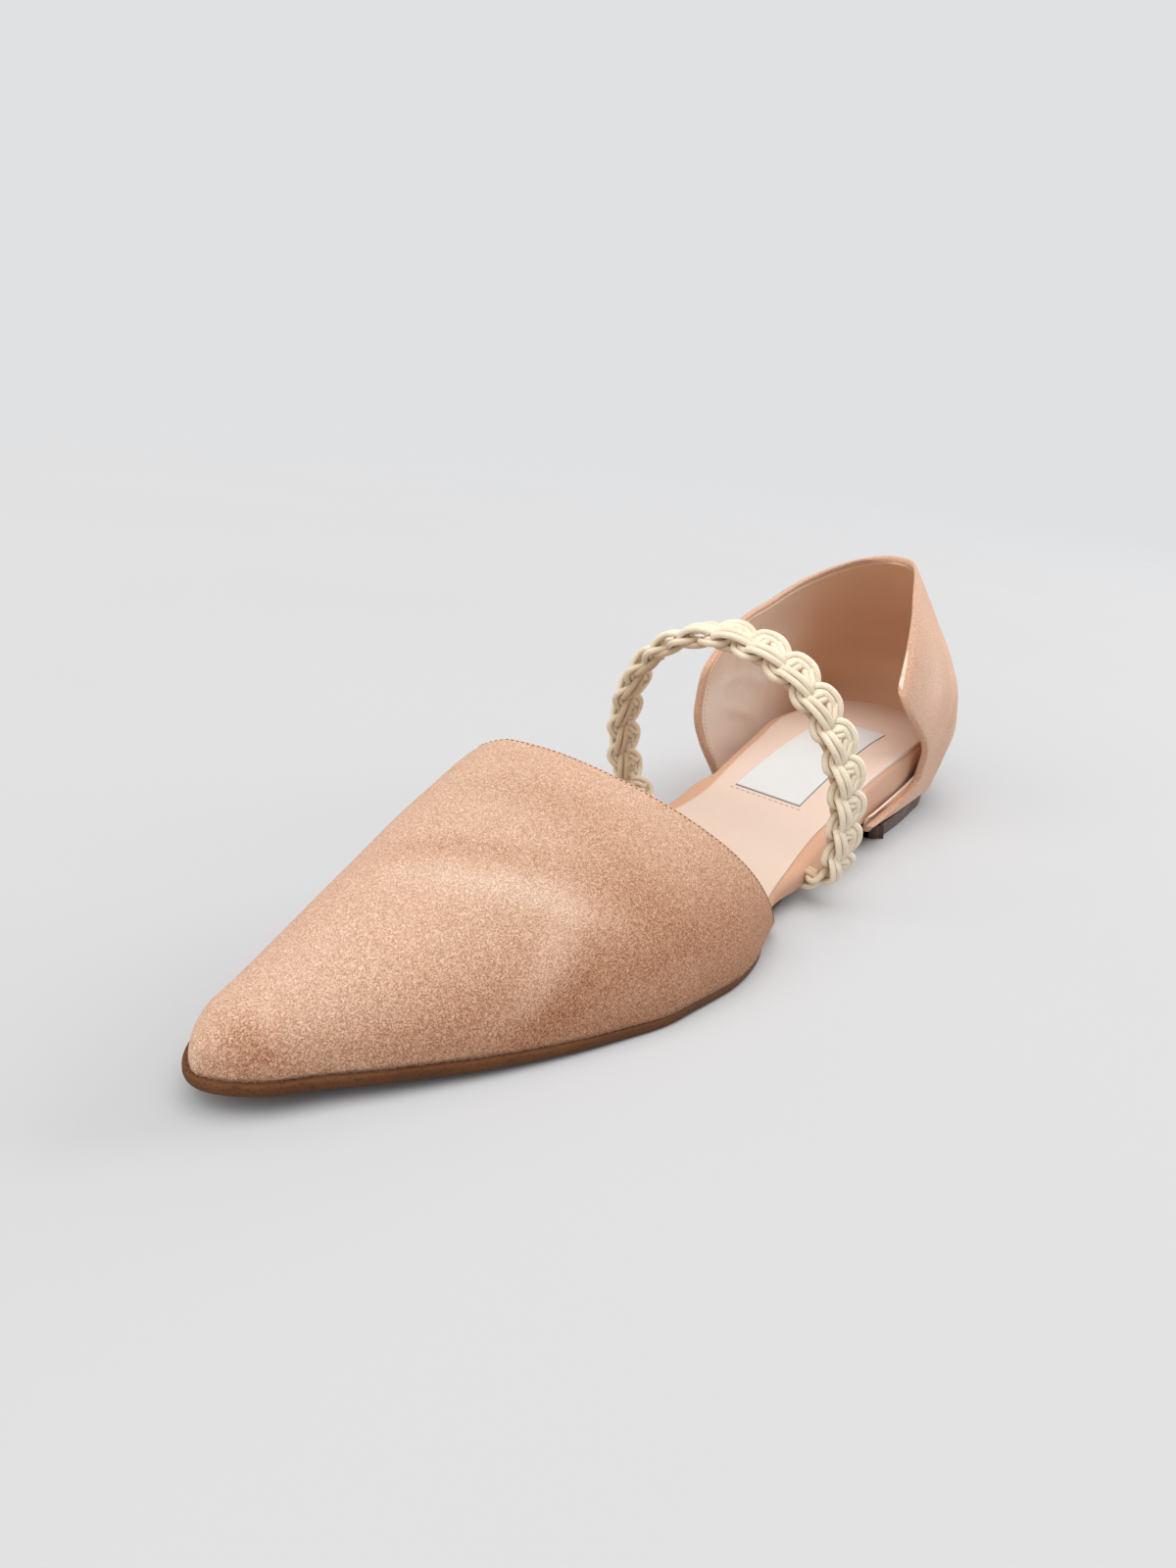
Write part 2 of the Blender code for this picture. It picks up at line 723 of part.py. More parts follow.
def main():
    for obj in list(bpy.data.objects):
        bpy.data.objects.remove(obj)
    pieces = bpy.data.collections.new("pointed_flat")
    cutters = bpy.data.collections.new("cutters")
    bpy.context.scene.collection.children.link(pieces)
    bpy.context.scene.collection.children.link(cutters)
    shoe = bpy.data.objects.new("shoe", None)
    pieces.objects.link(shoe)

    suede = make_material("suede", (0.80, 0.50, 0.38), 0.95)
    sock_leather = make_material("sock_leather", (0.86, 0.68, 0.58), 0.5)
    label_cloth = make_material("label_cloth", (0.88, 0.88, 0.88), 0.6)
    sole_rubber = make_material("sole_rubber", (0.32, 0.19, 0.13), 0.7)
    heel_stack = make_material("heel_stack", (0.20, 0.11, 0.08), 0.6)
    braid = make_material("braid", (0.86, 0.80, 0.66), 0.7)

    make_outsole(sole_rubber, pieces, shoe)
    make_heel(heel_stack, pieces, shoe)
    make_platform(suede, pieces, cutters, shoe)
    make_sock(sock_leather, pieces, shoe)
    make_label(label_cloth, pieces, shoe)
    make_vamp(suede, pieces, shoe)
    make_counter(suede, pieces, shoe)
    make_strap(braid, pieces, shoe)


if __name__ == "__main__":
    main()
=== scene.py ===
"""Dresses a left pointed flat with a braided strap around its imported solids.

Frame: +Y points to the toe, +X to the inner side of the foot, +Z up, in metres. Each
sub-assembly is a class that holds its sizes, builds its meshes and dresses them.
"""

import logging
import math
from dataclasses import dataclass, field
from enum import Enum
from typing import Callable, Optional, Sequence, Union

import bmesh
import bpy
import numpy as np
from mathutils import Matrix, Vector


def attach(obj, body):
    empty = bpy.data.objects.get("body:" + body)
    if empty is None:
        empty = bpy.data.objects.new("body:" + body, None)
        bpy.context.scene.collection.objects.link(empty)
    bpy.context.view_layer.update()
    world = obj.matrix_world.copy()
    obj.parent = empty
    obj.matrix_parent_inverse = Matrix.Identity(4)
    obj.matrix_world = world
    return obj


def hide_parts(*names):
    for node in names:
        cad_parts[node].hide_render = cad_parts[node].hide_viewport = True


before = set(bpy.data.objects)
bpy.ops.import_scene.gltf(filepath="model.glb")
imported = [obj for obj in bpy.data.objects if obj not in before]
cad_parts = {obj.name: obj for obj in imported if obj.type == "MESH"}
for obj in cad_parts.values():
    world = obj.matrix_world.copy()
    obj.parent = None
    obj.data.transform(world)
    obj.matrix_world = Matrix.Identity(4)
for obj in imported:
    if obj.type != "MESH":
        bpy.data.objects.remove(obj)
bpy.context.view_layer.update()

MM = 0.001
QUARTER = math.pi / 2
# how fast a bell falls, so that it is half as high half its width from the middle
BELL_FALL = 2.77
# points nearer than this are one, and edges shorter than the second are dropped
SAME_POINT = 0.002 * MM
SLIVER = 0.001 * MM
LOG = logging.getLogger("shoe")

# short names for types; a loft's level is how far inside the outline it lies, and how high
Array = np.ndarray
BMesh = bmesh.types.BMesh
Piece = bpy.types.Object
Socket = bpy.types.NodeSocket
Sockets = bpy.types.bpy_prop_collection
Value = Union[float, int, tuple, Socket]
Triple = tuple[float, float, float]
Colour = Triple
Table = tuple[tuple[float, ...], ...]
Inset = Callable[[Array, "Side"], Array]
Height = Callable[[Array], Array]
Level = tuple[Inset, Height]


class Side(Enum):
    """The two long sides of the shoe, with their sign along X."""

    OUTER = -1
    INNER = 1


class Slot(Enum):
    """Names of material slots."""

    SUEDE = "suede"
    SOCK = "sock_leather"
    LABEL = "label_cloth"
    SOLE = "sole_rubber"
    HEEL = "heel_stack"
    BRAID = "braid"


def smooth(x: Array, table: Table, column: int) -> Array:
    """Read a table between its rows, on a curve that never overshoots them.

    Args:
        x: Places at which the table is read, in its first column's measure.
        table: Rows of numbers, in the order of their first column.
        column: The column to read.

    Returns:
        The column's value at each place.
    """
    xs = np.array([row[0] for row in table], float)
    ys = np.array([row[column] for row in table], float)
    step = np.diff(xs)
    slope = np.diff(ys) / step
    tangent = np.zeros_like(ys)
    tangent[0], tangent[-1] = slope[0], slope[-1]
    product, total = slope[:-1] * slope[1:], slope[:-1] + slope[1:]
    turning = (product <= 0) | (total == 0)
    tangent[1:-1] = np.where(turning, 0, 2 * product / np.where(total == 0, 1, total))
    i = np.clip(np.searchsorted(xs, x) - 1, 0, len(xs) - 2)
    t = np.clip((x - xs[i]) / step[i], 0, 1)
    held = (1 + 2 * t) * (1 - t) ** 2 * ys[i] + t * t * (3 - 2 * t) * ys[i + 1]
    return held + step[i] * t * (1 - t) * ((1 - t) * tangent[i] - t * tangent[i + 1])


def ease(x: Array, start: float, end: float) -> Array:
    """Return 0 before start, 1 after end and a smooth step between them."""
    t = np.clip((x - start) / (end - start), 0, 1)
    return t * t * (3 - 2 * t)


def round_end(distance: Array, radius: Array) -> Array:
    """Return the share of the full width at a distance from a round end."""
    t = np.clip(1 - distance / radius, 0, 1)
    return np.sqrt(np.maximum(1 - t * t, 0))


def rim_inset(distance: Array, radius: float) -> Array:
    """Return how far a rounded rim lies inside the flat face, near its edge."""
    near = radius - np.clip(distance, 0, radius)
    return radius - np.sqrt(np.maximum(radius * radius - near * near, 0))


def rim_steps(radius: float, count: int) -> list[float]:
    """Return the distances from an edge at which its rounding has its points."""
    return [radius * (1 - math.cos(QUARTER * i / count)) for i in range(count)]


def bell(x: Array, width: float) -> Array:
    """Return a bell curve of height 1 that is width wide at half its height."""
    return np.exp(-((x / width) ** 2) * BELL_FALL)


def unit(vectors: Array) -> Array:
    """Return vectors of length 1 in the same directions."""
    size = np.linalg.norm(vectors, axis=-1, keepdims=True)
    return vectors / np.where(size == 0, 1, size)


def beside(run: Array) -> Array:
    """Return level vectors a quarter turn to the right of each run."""
    return np.stack([run[:, 1], -run[:, 0]], axis=1)


def spots(table: Table, around: Array, along: Array) -> Array:
    """Return the sum of a table's soft hand-placed spots at each point.

    Args:
        table: For each spot its place around and along, its reach around and along, how
            far it slants and its amount.
        around: Places in the first direction.
        along: Places in the second one.

    Returns:
        The sum at each point.
    """
    total = np.zeros(np.broadcast(around, along).shape)
    for middle, ahead, wide, long, slant, amount in table:
        across = around - middle
        total += amount * bell(across, wide) * bell(along - ahead - slant * across, long)
    return total


@dataclass(frozen=True)
class Last:
    """The form that the whole shoe is built on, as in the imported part."""

    length: float = 268 * MM
    back: float = -26 * MM
    ball_width: float = 69 * MM
    heel_width: float = 49 * MM
    heel_round: float = 26 * MM
    toe_round: float = 9 * MM
    seat_height: float = 24.8 * MM
    ball_height: float = 5.2 * MM
    instep_height: float = 43 * MM
    toe_spring: float = 4.2 * MM
    heel_block_height: float = 5.4 * MM
    heel_block_length: float = 69 * MM
    sole_thickness: float = 2.4 * MM
    flat_start: float = 0.600
    flat_end: float = 0.739

    # share of length, centre in ball widths, half width in heel widths, in ball widths
    outline: Table = (
        (0.000, 0.000, 0.470, 0.000),
        (0.097, 0.000, 0.482, 0.000),
        (0.190, 0.000, 0.502, 0.000),
        (0.284, -0.017, 0.469, 0.000),
        (0.396, -0.032, 0.439, 0.000),
        (0.489, -0.023, 0.235, 0.166),
        (0.582, 0.003, 0.000, 0.423),
        (0.657, 0.046, 0.000, 0.493),
        (0.713, 0.081, 0.000, 0.496),
        (0.769, 0.107, 0.000, 0.452),
        (0.843, 0.136, 0.000, 0.359),
        (0.910, 0.165, 0.000, 0.248),
        (0.959, 0.186, 0.000, 0.157),
        (1.000, 0.194, 0.000, 0.094),
    )
    # share of length, shares of seat height, ball height and toe spring in the footbed
    footbed: Table = (
        (0.000, 1.01, 0.00, 0.00),
        (0.172, 1.00, 0.00, 0.00),
        (0.284, 0.86, 0.14, 0.00),
        (0.396, 0.55, 0.45, 0.00),
        (0.489, 0.23, 0.77, 0.00),
        (0.582, 0.03, 0.97, 0.00),
        (0.657, 0.00, 1.00, 0.00),
        (0.739, 0.00, 1.00, 0.00),
        (0.843, 0.00, 1.00, 0.32),
        (1.000, 0.00, 1.00, 1.00),
    )

    @property
    def tip(self) -> float:
        """Return the toe's Y."""
        return self.back + self.length

    def share(self, y: Array) -> Array:
        """Return how far along the shoe y lies, as a share of its length."""
        return (y - self.back) / self.length

    def at(self, along: float) -> float:
        """Return the Y that lies at a share of the shoe's length."""
        return self.back + along * self.length

    def sole_bottom(self, y: Array) -> Array:
        """Return the sole's underside at y."""
        fall = ease(y, self.back + self.heel_block_length, self.at(self.flat_start))
        past = np.maximum(0, (self.share(y) - self.flat_end) / (1 - self.flat_end))
        return self.heel_block_height * (1 - fall) + self.toe_spring * past ** 1.4

    def feather(self, y: Array) -> Array:
        """Return the height of the sole's upper face at y."""
        return self.sole_bottom(y) + self.sole_thickness

    def sock_top(self, y: Array) -> Array:
        """Return the height of the sock that the foot stands on."""
        along = self.share(y)
        return (smooth(along, self.footbed, 1) * self.seat_height
                + smooth(along, self.footbed, 2) * self.ball_height
                + smooth(along, self.footbed, 3) * self.toe_spring)

    def width(self, y: Array) -> tuple[Array, Array]:
        """Return the outline's centre and half width at y, before its ends are round."""
        along = self.share(y)
        half = (smooth(along, self.outline, 2) * self.heel_width
                + smooth(along, self.outline, 3) * self.ball_width)
        return smooth(along, self.outline, 1) * self.ball_width, half

    def edge(self, y: Array, side: Side) -> Array:
        """Return the outline's X at y on one side."""
        centre, half = self.width(y)
        ends = round_end(y - self.back, self.heel_round) * round_end(self.tip - y, self.toe_round)
        return centre + side.value * half * ends

    def stations(self, count: int, ends: int = 12) -> Array:
        """Return places from back to tip, closer together at the round ends."""
        heel = [self.back + step for step in rim_steps(self.heel_round, ends)]
        toe = [self.tip - step for step in reversed(rim_steps(self.toe_round, ends))]
        body = np.linspace(self.back + self.heel_round, self.tip - self.toe_round, count)
        return np.array(heel + list(body) + toe)

    def offset(self, ys: Array, side: Side, inset: Array) -> Array:
        """Move one side of the outline inwards.

        Args:
            ys: Stations from back to tip.
            side: The side to move.
            inset: How far each station moves inwards.

        Returns:
            An array of X and Y for each station.
        """
        points = np.stack([self.edge(ys, side), ys], axis=1)
        outward = side.value * beside(unit(np.gradient(points, axis=0)))
        outward[0], outward[-1] = (0, -1), (0, 1)
        return points - outward * np.asarray(inset)[:, None]


LAST = Last()


def add_object(name: str, data: bpy.types.ID) -> Piece:
    """Make an object of a mesh, lamp or camera and put it in the scene."""
    obj = bpy.data.objects.new(name, data)
    bpy.context.scene.collection.objects.link(obj)
    return obj


def new_piece(name: str, bm: BMesh, finish: "Finish", sharp: float = 50) -> Piece:
    """Make a finished closed piece, with its faces outwards, that rides on the shoe.

    Args:
        name: The piece's name.
        bm: Its mesh, which is freed.
        finish: Its finish.
        sharp: Edges that turn by more than this many degrees stay sharp.

    Returns:
        The new object.
    """
    bmesh.ops.remove_doubles(bm, verts=bm.verts, dist=SAME_POINT)
    bmesh.ops.dissolve_degenerate(bm, edges=bm.edges, dist=SLIVER)
    bmesh.ops.recalc_face_normals(bm, faces=bm.faces)
    if bm.calc_volume(signed=True) < 0:
        bmesh.ops.reverse_faces(bm, faces=bm.faces)
    mesh = bpy.data.meshes.new(name)
    bm.to_mesh(mesh)
    bm.free()
    mesh.shade_smooth()
    mesh.set_sharp_from_angle(angle=math.radians(sharp))
    return dress(add_object(name, mesh), finish)


def dress(obj: Piece, finish: "Finish") -> Piece:
    """Give a piece its finish, and let it ride on the shoe."""
    obj.data.materials.clear()
    obj.data.materials.append(finish.material())
    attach(obj, "root")
    LOG.info("%s: %d faces", obj.name, len(obj.data.polygons))
    return obj


def closed_wall(front: Array, back: Array, tone_and_shade: Optional[Array] = None) -> BMesh:
    """Close two matching grids of points into one wall.

    Args:
        front: The outer face, as rows x columns x 3.
        back: The inner face, likewise.
        tone_and_shade: A number for each grid point, kept in the attribute tone_and_shade; on the vamp
            it paints shade and light, on the cup's lining shade, and on the cup's suede it is a tone.

    Returns:
        The wall's mesh.
    """
    bm = bmesh.new()
    mark = bm.verts.layers.float.new("tone_and_shade") if tone_and_shade is not None else None
    face, rear = ([[bm.verts.new(point) for point in line] for line in grid]
                  for grid in (front, back))
    if mark is not None:
        for line, near, far in zip(tone_and_shade, face, rear):
            for value, outer, inner in zip(line, near, far):
                outer[mark] = inner[mark] = float(value)
    rows, columns = front.shape[:2]
    for i in range(rows - 1):
        for j in range(columns - 1):
            corners = ((i, j), (i, j + 1), (i + 1, j + 1), (i + 1, j))
            bm.faces.new([face[a][b] for a, b in corners])
            bm.faces.new([rear[a][b] for a, b in reversed(corners)])
    rim = [(0, j) for j in range(columns)] + [(i, columns - 1) for i in range(1, rows)]
    rim += [(rows - 1, j) for j in range(columns - 2, -1, -1)]
    rim += [(i, 0) for i in range(rows - 2, -1, -1)]
    for (a, b), (c, d) in zip(rim, rim[1:]):
        bm.faces.new((face[c][d], face[a][b], rear[a][b], rear[c][d]))
    return bm


def slab(ys: Array, levels: Sequence[Level], flat_front: bool = False) -> BMesh:
    """Loft a closed body up through copies of the outline.

    Args:
        ys: Stations from back to front.
        levels: For each level, how far it lies inside the outline and how high it is.
        flat_front: Whether the body ends in a straight front face.

    Returns:
        The body's mesh.
    """
    bm = bmesh.new()
    loops = []
    for inset, height in levels:
        sides = []
        for side in Side:
            xy = LAST.offset(ys, side, np.broadcast_to(inset(ys, side), ys.shape))
            sides.append([bm.verts.new((x, y, z)) for (x, y), z in zip(xy, height(ys))])
        loops.append(sides)
    for low, high in zip(loops, loops[1:]):
        for below, above in zip(low, high):
            for corners in zip(below, below[1:], above[1:], above):
                bm.faces.new(corners)
        if flat_front:
            bm.faces.new((low[0][-1], low[1][-1], high[1][-1], high[0][-1]))
    for outer, inner in (loops[0], loops[-1]):
        for corners in zip(outer, outer[1:], inner[1:], inner):
            bm.faces.new(corners)
    return bm


class Graph:
    """Adds nodes to one node tree and joins them."""

    def __init__(self, tree: bpy.types.NodeTree) -> None:
        """Keep the tree that the nodes go into."""
        self.tree = tree

    def add(self, kind: str, inputs: Optional[dict[Union[str, int], Value]] = None,
            **settings: object) -> bpy.types.Node:
        """Add a node.

        Args:
            kind: The node's type name.
            inputs: Values, or sockets to join, for its named or numbered inputs.
            **settings: Values for the node's own properties.

        Returns:
            The node.
        """
        node = self.tree.nodes.new(kind)
        for name, value in settings.items():
            setattr(node, name, value)
        for name, value in (inputs or {}).items():
            self.feed(node.inputs[name], value)
        return node

    def feed(self, socket: Socket, value: Value) -> None:
        """Join a socket to another one, or set its value; a colour is fully opaque."""
        if isinstance(value, Socket):
            self.tree.links.new(value, socket)
        else:
            socket.default_value = (*value, 1) if socket.type == "RGBA" else value

    def maths(self, operation: str, *values: Value) -> Socket:
        """Add a Math node and return its result."""
        return self.add("ShaderNodeMath", dict(enumerate(values)), operation=operation).outputs[0]

    def times(self, value: Value, factor: Value) -> Socket:
        """Multiply two values and return the product."""
        return self.maths("MULTIPLY", value, factor)

    def mix(self, factor: Value, a: Value, b: Value, how: str = "MIX") -> Socket:
        """Mix two colours and return the result."""
        return self.add("ShaderNodeMix", {0: factor, 6: a, 7: b}, data_type="RGBA",
                        blend_type=how).outputs[2]

    def spread(self, value: Value, low: float, high: float, to_low: float = 0,
               to_high: float = 1) -> Socket:
        """Map a range onto another one, held at its ends, and return the result."""
        return self.add("ShaderNodeMapRange", dict(enumerate((value, low, high, to_low, to_high)))
                        ).outputs[0]

    def noise(self, vector: Value, scale: Value, rough: float = 0.5, warp: float = 0,
              detail: float = 3) -> Socket:
        """Add a Noise Texture and return its factor."""
        return self.add("ShaderNodeTexNoise", {"Vector": vector, "Scale": scale,
                        "Detail": detail, "Roughness": rough, "Distortion": warp}).outputs["Fac"]

    def attribute(self, name: str) -> Socket:
        """Return the number that the mesh holds in its attribute of this name."""
        return self.add("ShaderNodeAttribute", attribute_name=name).outputs["Fac"]


def shader_group(name: str, inputs: dict[str, float], outputs: Sequence[str],
                 build: Callable[[Graph, Sockets, Sockets], None]) -> bpy.types.NodeTree:
    """Return the shader node group of this name, building it the first time.

    Args:
        name: The group's name.
        inputs: Its number inputs with their defaults. Vector is always the first input.
        outputs: Names of its number outputs.
        build: Fills the tree between what it is given and what it puts out.

    Returns:
        The node group.
    """
    if name in bpy.data.node_groups:
        return bpy.data.node_groups[name]
    tree = bpy.data.node_groups.new(name, "ShaderNodeTree")
    tree.interface.new_socket("Vector", in_out="INPUT", socket_type="NodeSocketVector")
    for key, value in inputs.items():
        socket = tree.interface.new_socket(key, in_out="INPUT", socket_type="NodeSocketFloat")
        socket.default_value = value
    for key in outputs:
        tree.interface.new_socket(key, in_out="OUTPUT", socket_type="NodeSocketFloat")
    graph = Graph(tree)
    build(graph, graph.add("NodeGroupInput").outputs, graph.add("NodeGroupOutput").inputs)
    return tree


def nap_group() -> bpy.types.NodeTree:
    """Return the group that makes a short fuzzy nap."""

    def build(g: Graph, given: Sockets, out: Sockets) -> None:
        """Fill the group's tree."""
        fibres = g.noise(given["Vector"], given["Fibre Scale"], 0.75, 1.4)
        curl = g.add("ShaderNodeTexVoronoi", {"Vector": given["Vector"],
                     "Scale": given["Clump Scale"]}).outputs["Distance"]
        clump = g.spread(curl, 0.1, 0.75, 1, 0)
        height = g.maths("ADD", g.times(fibres, 0.8), g.times(clump, 0.2))
        cloud = g.noise(given["Vector"], given["Patch Scale"], 0.5, 0.6)
        g.feed(out["Height"], height)
        g.feed(out["Tone"], g.spread(height, 0.38, 0.64))
        g.feed(out["Patches"], g.spread(cloud, 0.32, 0.68))

    return shader_group("short nap", {"Fibre Scale": 3400, "Clump Scale": 2100,
                        "Patch Scale": 30}, ("Height", "Tone", "Patches"), build)


def grain_group() -> bpy.types.NodeTree:
    """Return the group that makes a fine leather grain with faint wear."""

    def build(g: Graph, given: Sockets, out: Sockets) -> None:
        """Fill the group's tree."""
        pores = g.add("ShaderNodeTexVoronoi", {"Vector": given["Vector"],
                      "Scale": given["Pore Scale"]}, feature="SMOOTH_F1").outputs["Distance"]
        ripple = g.noise(given["Vector"], given["Ripple Scale"], 0.5, 0.3)
        wear = g.noise(given["Vector"], given["Wear Scale"], 0.6, 0.8, detail=4)
        g.feed(out["Height"], g.maths("ADD", g.times(pores, 0.45), g.times(ripple, 0.55)))
        g.feed(out["Wear"], g.spread(wear, 0.35, 0.7))

    return shader_group("fine grain", {"Pore Scale": 2200, "Ripple Scale": 240,
                        "Wear Scale": 55}, ("Height", "Wear"), build)


def speck_group() -> bpy.types.NodeTree:
    """Return the group that makes fine specks and pits."""

    def build(g: Graph, given: Sockets, out: Sockets) -> None:
        """Fill the group's tree."""
        fine = g.noise(given["Vector"], given["Speck Scale"], 0.7, detail=2)
        broad = g.noise(given["Vector"], given["Stain Scale"], 0.5, 0.4)
        g.feed(out["Specks"], g.spread(fine, 0.56, 0.66))
        g.feed(out["Stain"], g.spread(broad, 0.35, 0.65))

    return shader_group("specks", {"Speck Scale": 2600, "Stain Scale": 90},
                        ("Specks", "Stain"), build)


@dataclass(frozen=True)
class Finish:
    """A finish of one base colour; the classes below add its surface."""

    name: str
    base: Colour
    roughness: float = 0.6
    specular: float = 0.4
    sheen: float = 0.0
    sheen_roughness: float = 0.5
    sheen_tint: Colour = (1, 1, 1)

    def material(self) -> bpy.types.Material:
        """Return the finish's material, building it the first time."""
        if self.name in bpy.data.materials:
            return bpy.data.materials[self.name]
        made = bpy.data.materials.new(self.name)
        made.use_nodes = True
        made.node_tree.nodes.clear()
        graph = Graph(made.node_tree)
        shader = graph.add("ShaderNodeBsdfPrincipled", {
            "Roughness": self.roughness, "Specular IOR Level": self.specular,
            "Sheen Weight": self.sheen, "Sheen Roughness": self.sheen_roughness,
            "Sheen Tint": self.sheen_tint, "Base Color": self.base})
        graph.add("ShaderNodeOutputMaterial", {"Surface": shader.outputs[0]})
        place = graph.add("ShaderNodeTexCoord").outputs["Object"]
        self.surface(graph, shader.inputs, place)
        made.diffuse_color = (*self.base, 1)
        return made

    def surface(self, g: Graph, shader: Sockets, place: Socket) -> None:
        """Feed the surface's colour, roughness and relief to the shader's inputs."""

    def relief(self, g: Graph, shader: Sockets, height: Value, depth: float) -> None:
        """Feed a height to the shader's normal through a Bump node."""
        bump = g.add("ShaderNodeBump", {"Height": height, "Distance": depth, "Strength": 1})
        g.feed(shader["Normal"], bump.outputs["Normal"])


@dataclass(frozen=True)
class Suede(Finish):
    """Suede with a short nap, broad brushed patches and listed tones, which on the vamp are painted
    shade and painted light.
    """

    # below 0 the mesh's tone attribute mixes the suede towards the first colour, which on the vamp is
    # painted shade; above 0 towards the second, which on the vamp is painted light and which also
    # colours the random patches
    shade_and_dark_tone: Colour = (0.5, 0.3, 0.2)
    light: Colour = (0.9, 0.7, 0.6)
    between: Colour = (0.62, 0.50, 0.40)
    fibre_scale: float = 2200
    clumping: float = 1.5
    patch_scale: float = 28
    depth: float = 0.22 * MM

    def surface(self, g: Graph, shader: Sockets, place: Socket) -> None:
        """Add nap, patches and tones; on the vamp the tones paint shade and light."""
        nap = g.add("ShaderNodeGroup", {"Vector": place, "Fibre Scale": self.fibre_scale,
                    "Clump Scale": self.fibre_scale * self.clumping, "Patch Scale": self.patch_scale},
                    node_tree=nap_group()).outputs
        tone_and_shade = g.attribute("tone_and_shade")
        # shaded is painted shade and pale is painted light, from the attribute's sign
        pale, shaded = g.spread(tone_and_shade, 0, 1), g.spread(tone_and_shade, 0, -1)
        cloudy = g.mix(g.times(nap["Patches"], 0.30), self.base, self.light)
        ground = g.mix(shaded, g.mix(pale, cloudy, self.light), self.shade_and_dark_tone)
        # where shade is painted, the nap's hollows also darken more deeply
        deeper = tuple(part * part for part in self.between)
        hollow = g.mix(1.0, ground, g.mix(shaded, self.between, deeper), "MULTIPLY")
        raised = g.maths("ADD", nap["Tone"], g.times(pale, 0.5))
        g.feed(shader["Base Color"], g.mix(raised, hollow, ground))
        self.relief(g, shader, nap["Height"], self.depth)


@dataclass(frozen=True)
class Leather(Finish):
    """Smooth leather with fine pores, soft ripples, faint wear and painted shade."""

    worn: Colour = (0.7, 0.5, 0.4)
    # the colour of painted shade, used where the mesh's attribute is below 0
    painted_shade: Colour = (0.6, 0.4, 0.3)
    wear: float = 0.35
    pore_scale: float = 2200
    ripple_scale: float = 240
    depth: float = 0.06 * MM

    def surface(self, g: Graph, shader: Sockets, place: Socket) -> None:
        """Add grain, wear, a varied gloss and painted shade from the mesh's attribute where it is below
        0.
        """
        grain = g.add("ShaderNodeGroup", {"Vector": place, "Pore Scale": self.pore_scale,
                      "Ripple Scale": self.ripple_scale}, node_tree=grain_group()).outputs
        clean = g.mix(g.times(grain["Wear"], self.wear), self.base, self.worn)
        shaded = g.spread(g.attribute("tone_and_shade"), 0, -1)
        g.feed(shader["Base Color"], g.mix(shaded, clean, self.painted_shade))
        g.feed(shader["Roughness"], g.spread(grain["Wear"], 0, 1, self.roughness - 0.06,
                                             self.roughness + 0.10))
        self.relief(g, shader, grain["Height"], self.depth)


@dataclass(frozen=True)
class Rubber(Finish):
    """Sole rubber or stacked heel: specks, stains and fine layers up the side."""

    speck: Colour = (0.1, 0.06, 0.04)
    stain: Colour = (0.4, 0.25, 0.16)
    layers: float = 0.0
    depth: float = 0.08 * MM

    def surface(self, g: Graph, shader: Sockets, place: Socket) -> None:
        """Add specks, stains and layers."""
        marks = g.add("ShaderNodeGroup", {"Vector": place}, node_tree=speck_group()).outputs
        stained = g.mix(g.times(marks["Stain"], 0.6), self.base, self.stain)
        colour = g.mix(g.times(marks["Specks"], 0.55), stained, self.speck)
        height = g.times(marks["Specks"], -1)
        if self.layers:
            up = g.add("ShaderNodeSeparateXYZ", {0: place}).outputs["Z"]
            line = g.spread(g.maths("SINE", g.times(up, self.layers)), 0.8, 1.0)
            colour = g.mix(g.times(line, 0.5), colour, self.speck)
            height = g.maths("SUBTRACT", height, line)
        g.feed(shader["Base Color"], colour)
        g.feed(shader["Roughness"], g.spread(marks["Stain"], 0, 1, self.roughness - 0.1,
                                             self.roughness + 0.1))
        self.relief(g, shader, height, self.depth)


@dataclass(frozen=True)
class Cord(Finish):
    """A braided sheath over elastic: fine slanted ribs along the cord."""

    # the colour of the ribs' hollows, of painted shade where the cord is sunk in the band, and of soft
    # dirt
    dirt_and_shade: Colour = (0.6, 0.5, 0.36)
    rib_scale: float = 9500
    fibre_scale: float = 3200
    dirt_scale: float = 160
    depth: float = 0.05 * MM

    def surface(self, g: Graph, shader: Sockets, place: Socket) -> None:
        """Add ribs, fibres and soft dirt, with painted shade where the cord is sunk in the band."""
        wave = g.maths("SINE", g.times(g.attribute("along"), self.rib_scale))
        fibre = g.noise(place, self.fibre_scale, 0.6, 0.8)
        height = g.maths("ADD", g.times(wave, 0.08), fibre)
        dirt = g.noise(place, self.dirt_scale, 0.5, 0.5)
        colour = self.base
        # the second amount is painted shade in the braid's gaps, where the cord is sunk
        for amount in (g.times(g.spread(height, 0.75, 0.25), 0.35),
                       g.times(g.attribute("sunk"), 0.75),
                       g.times(g.spread(dirt, 0.45, 0.75), 0.3)):
            colour = g.mix(amount, colour, self.dirt_and_shade)
        g.feed(shader["Base Color"], colour)
        self.relief(g, shader, height, self.depth)


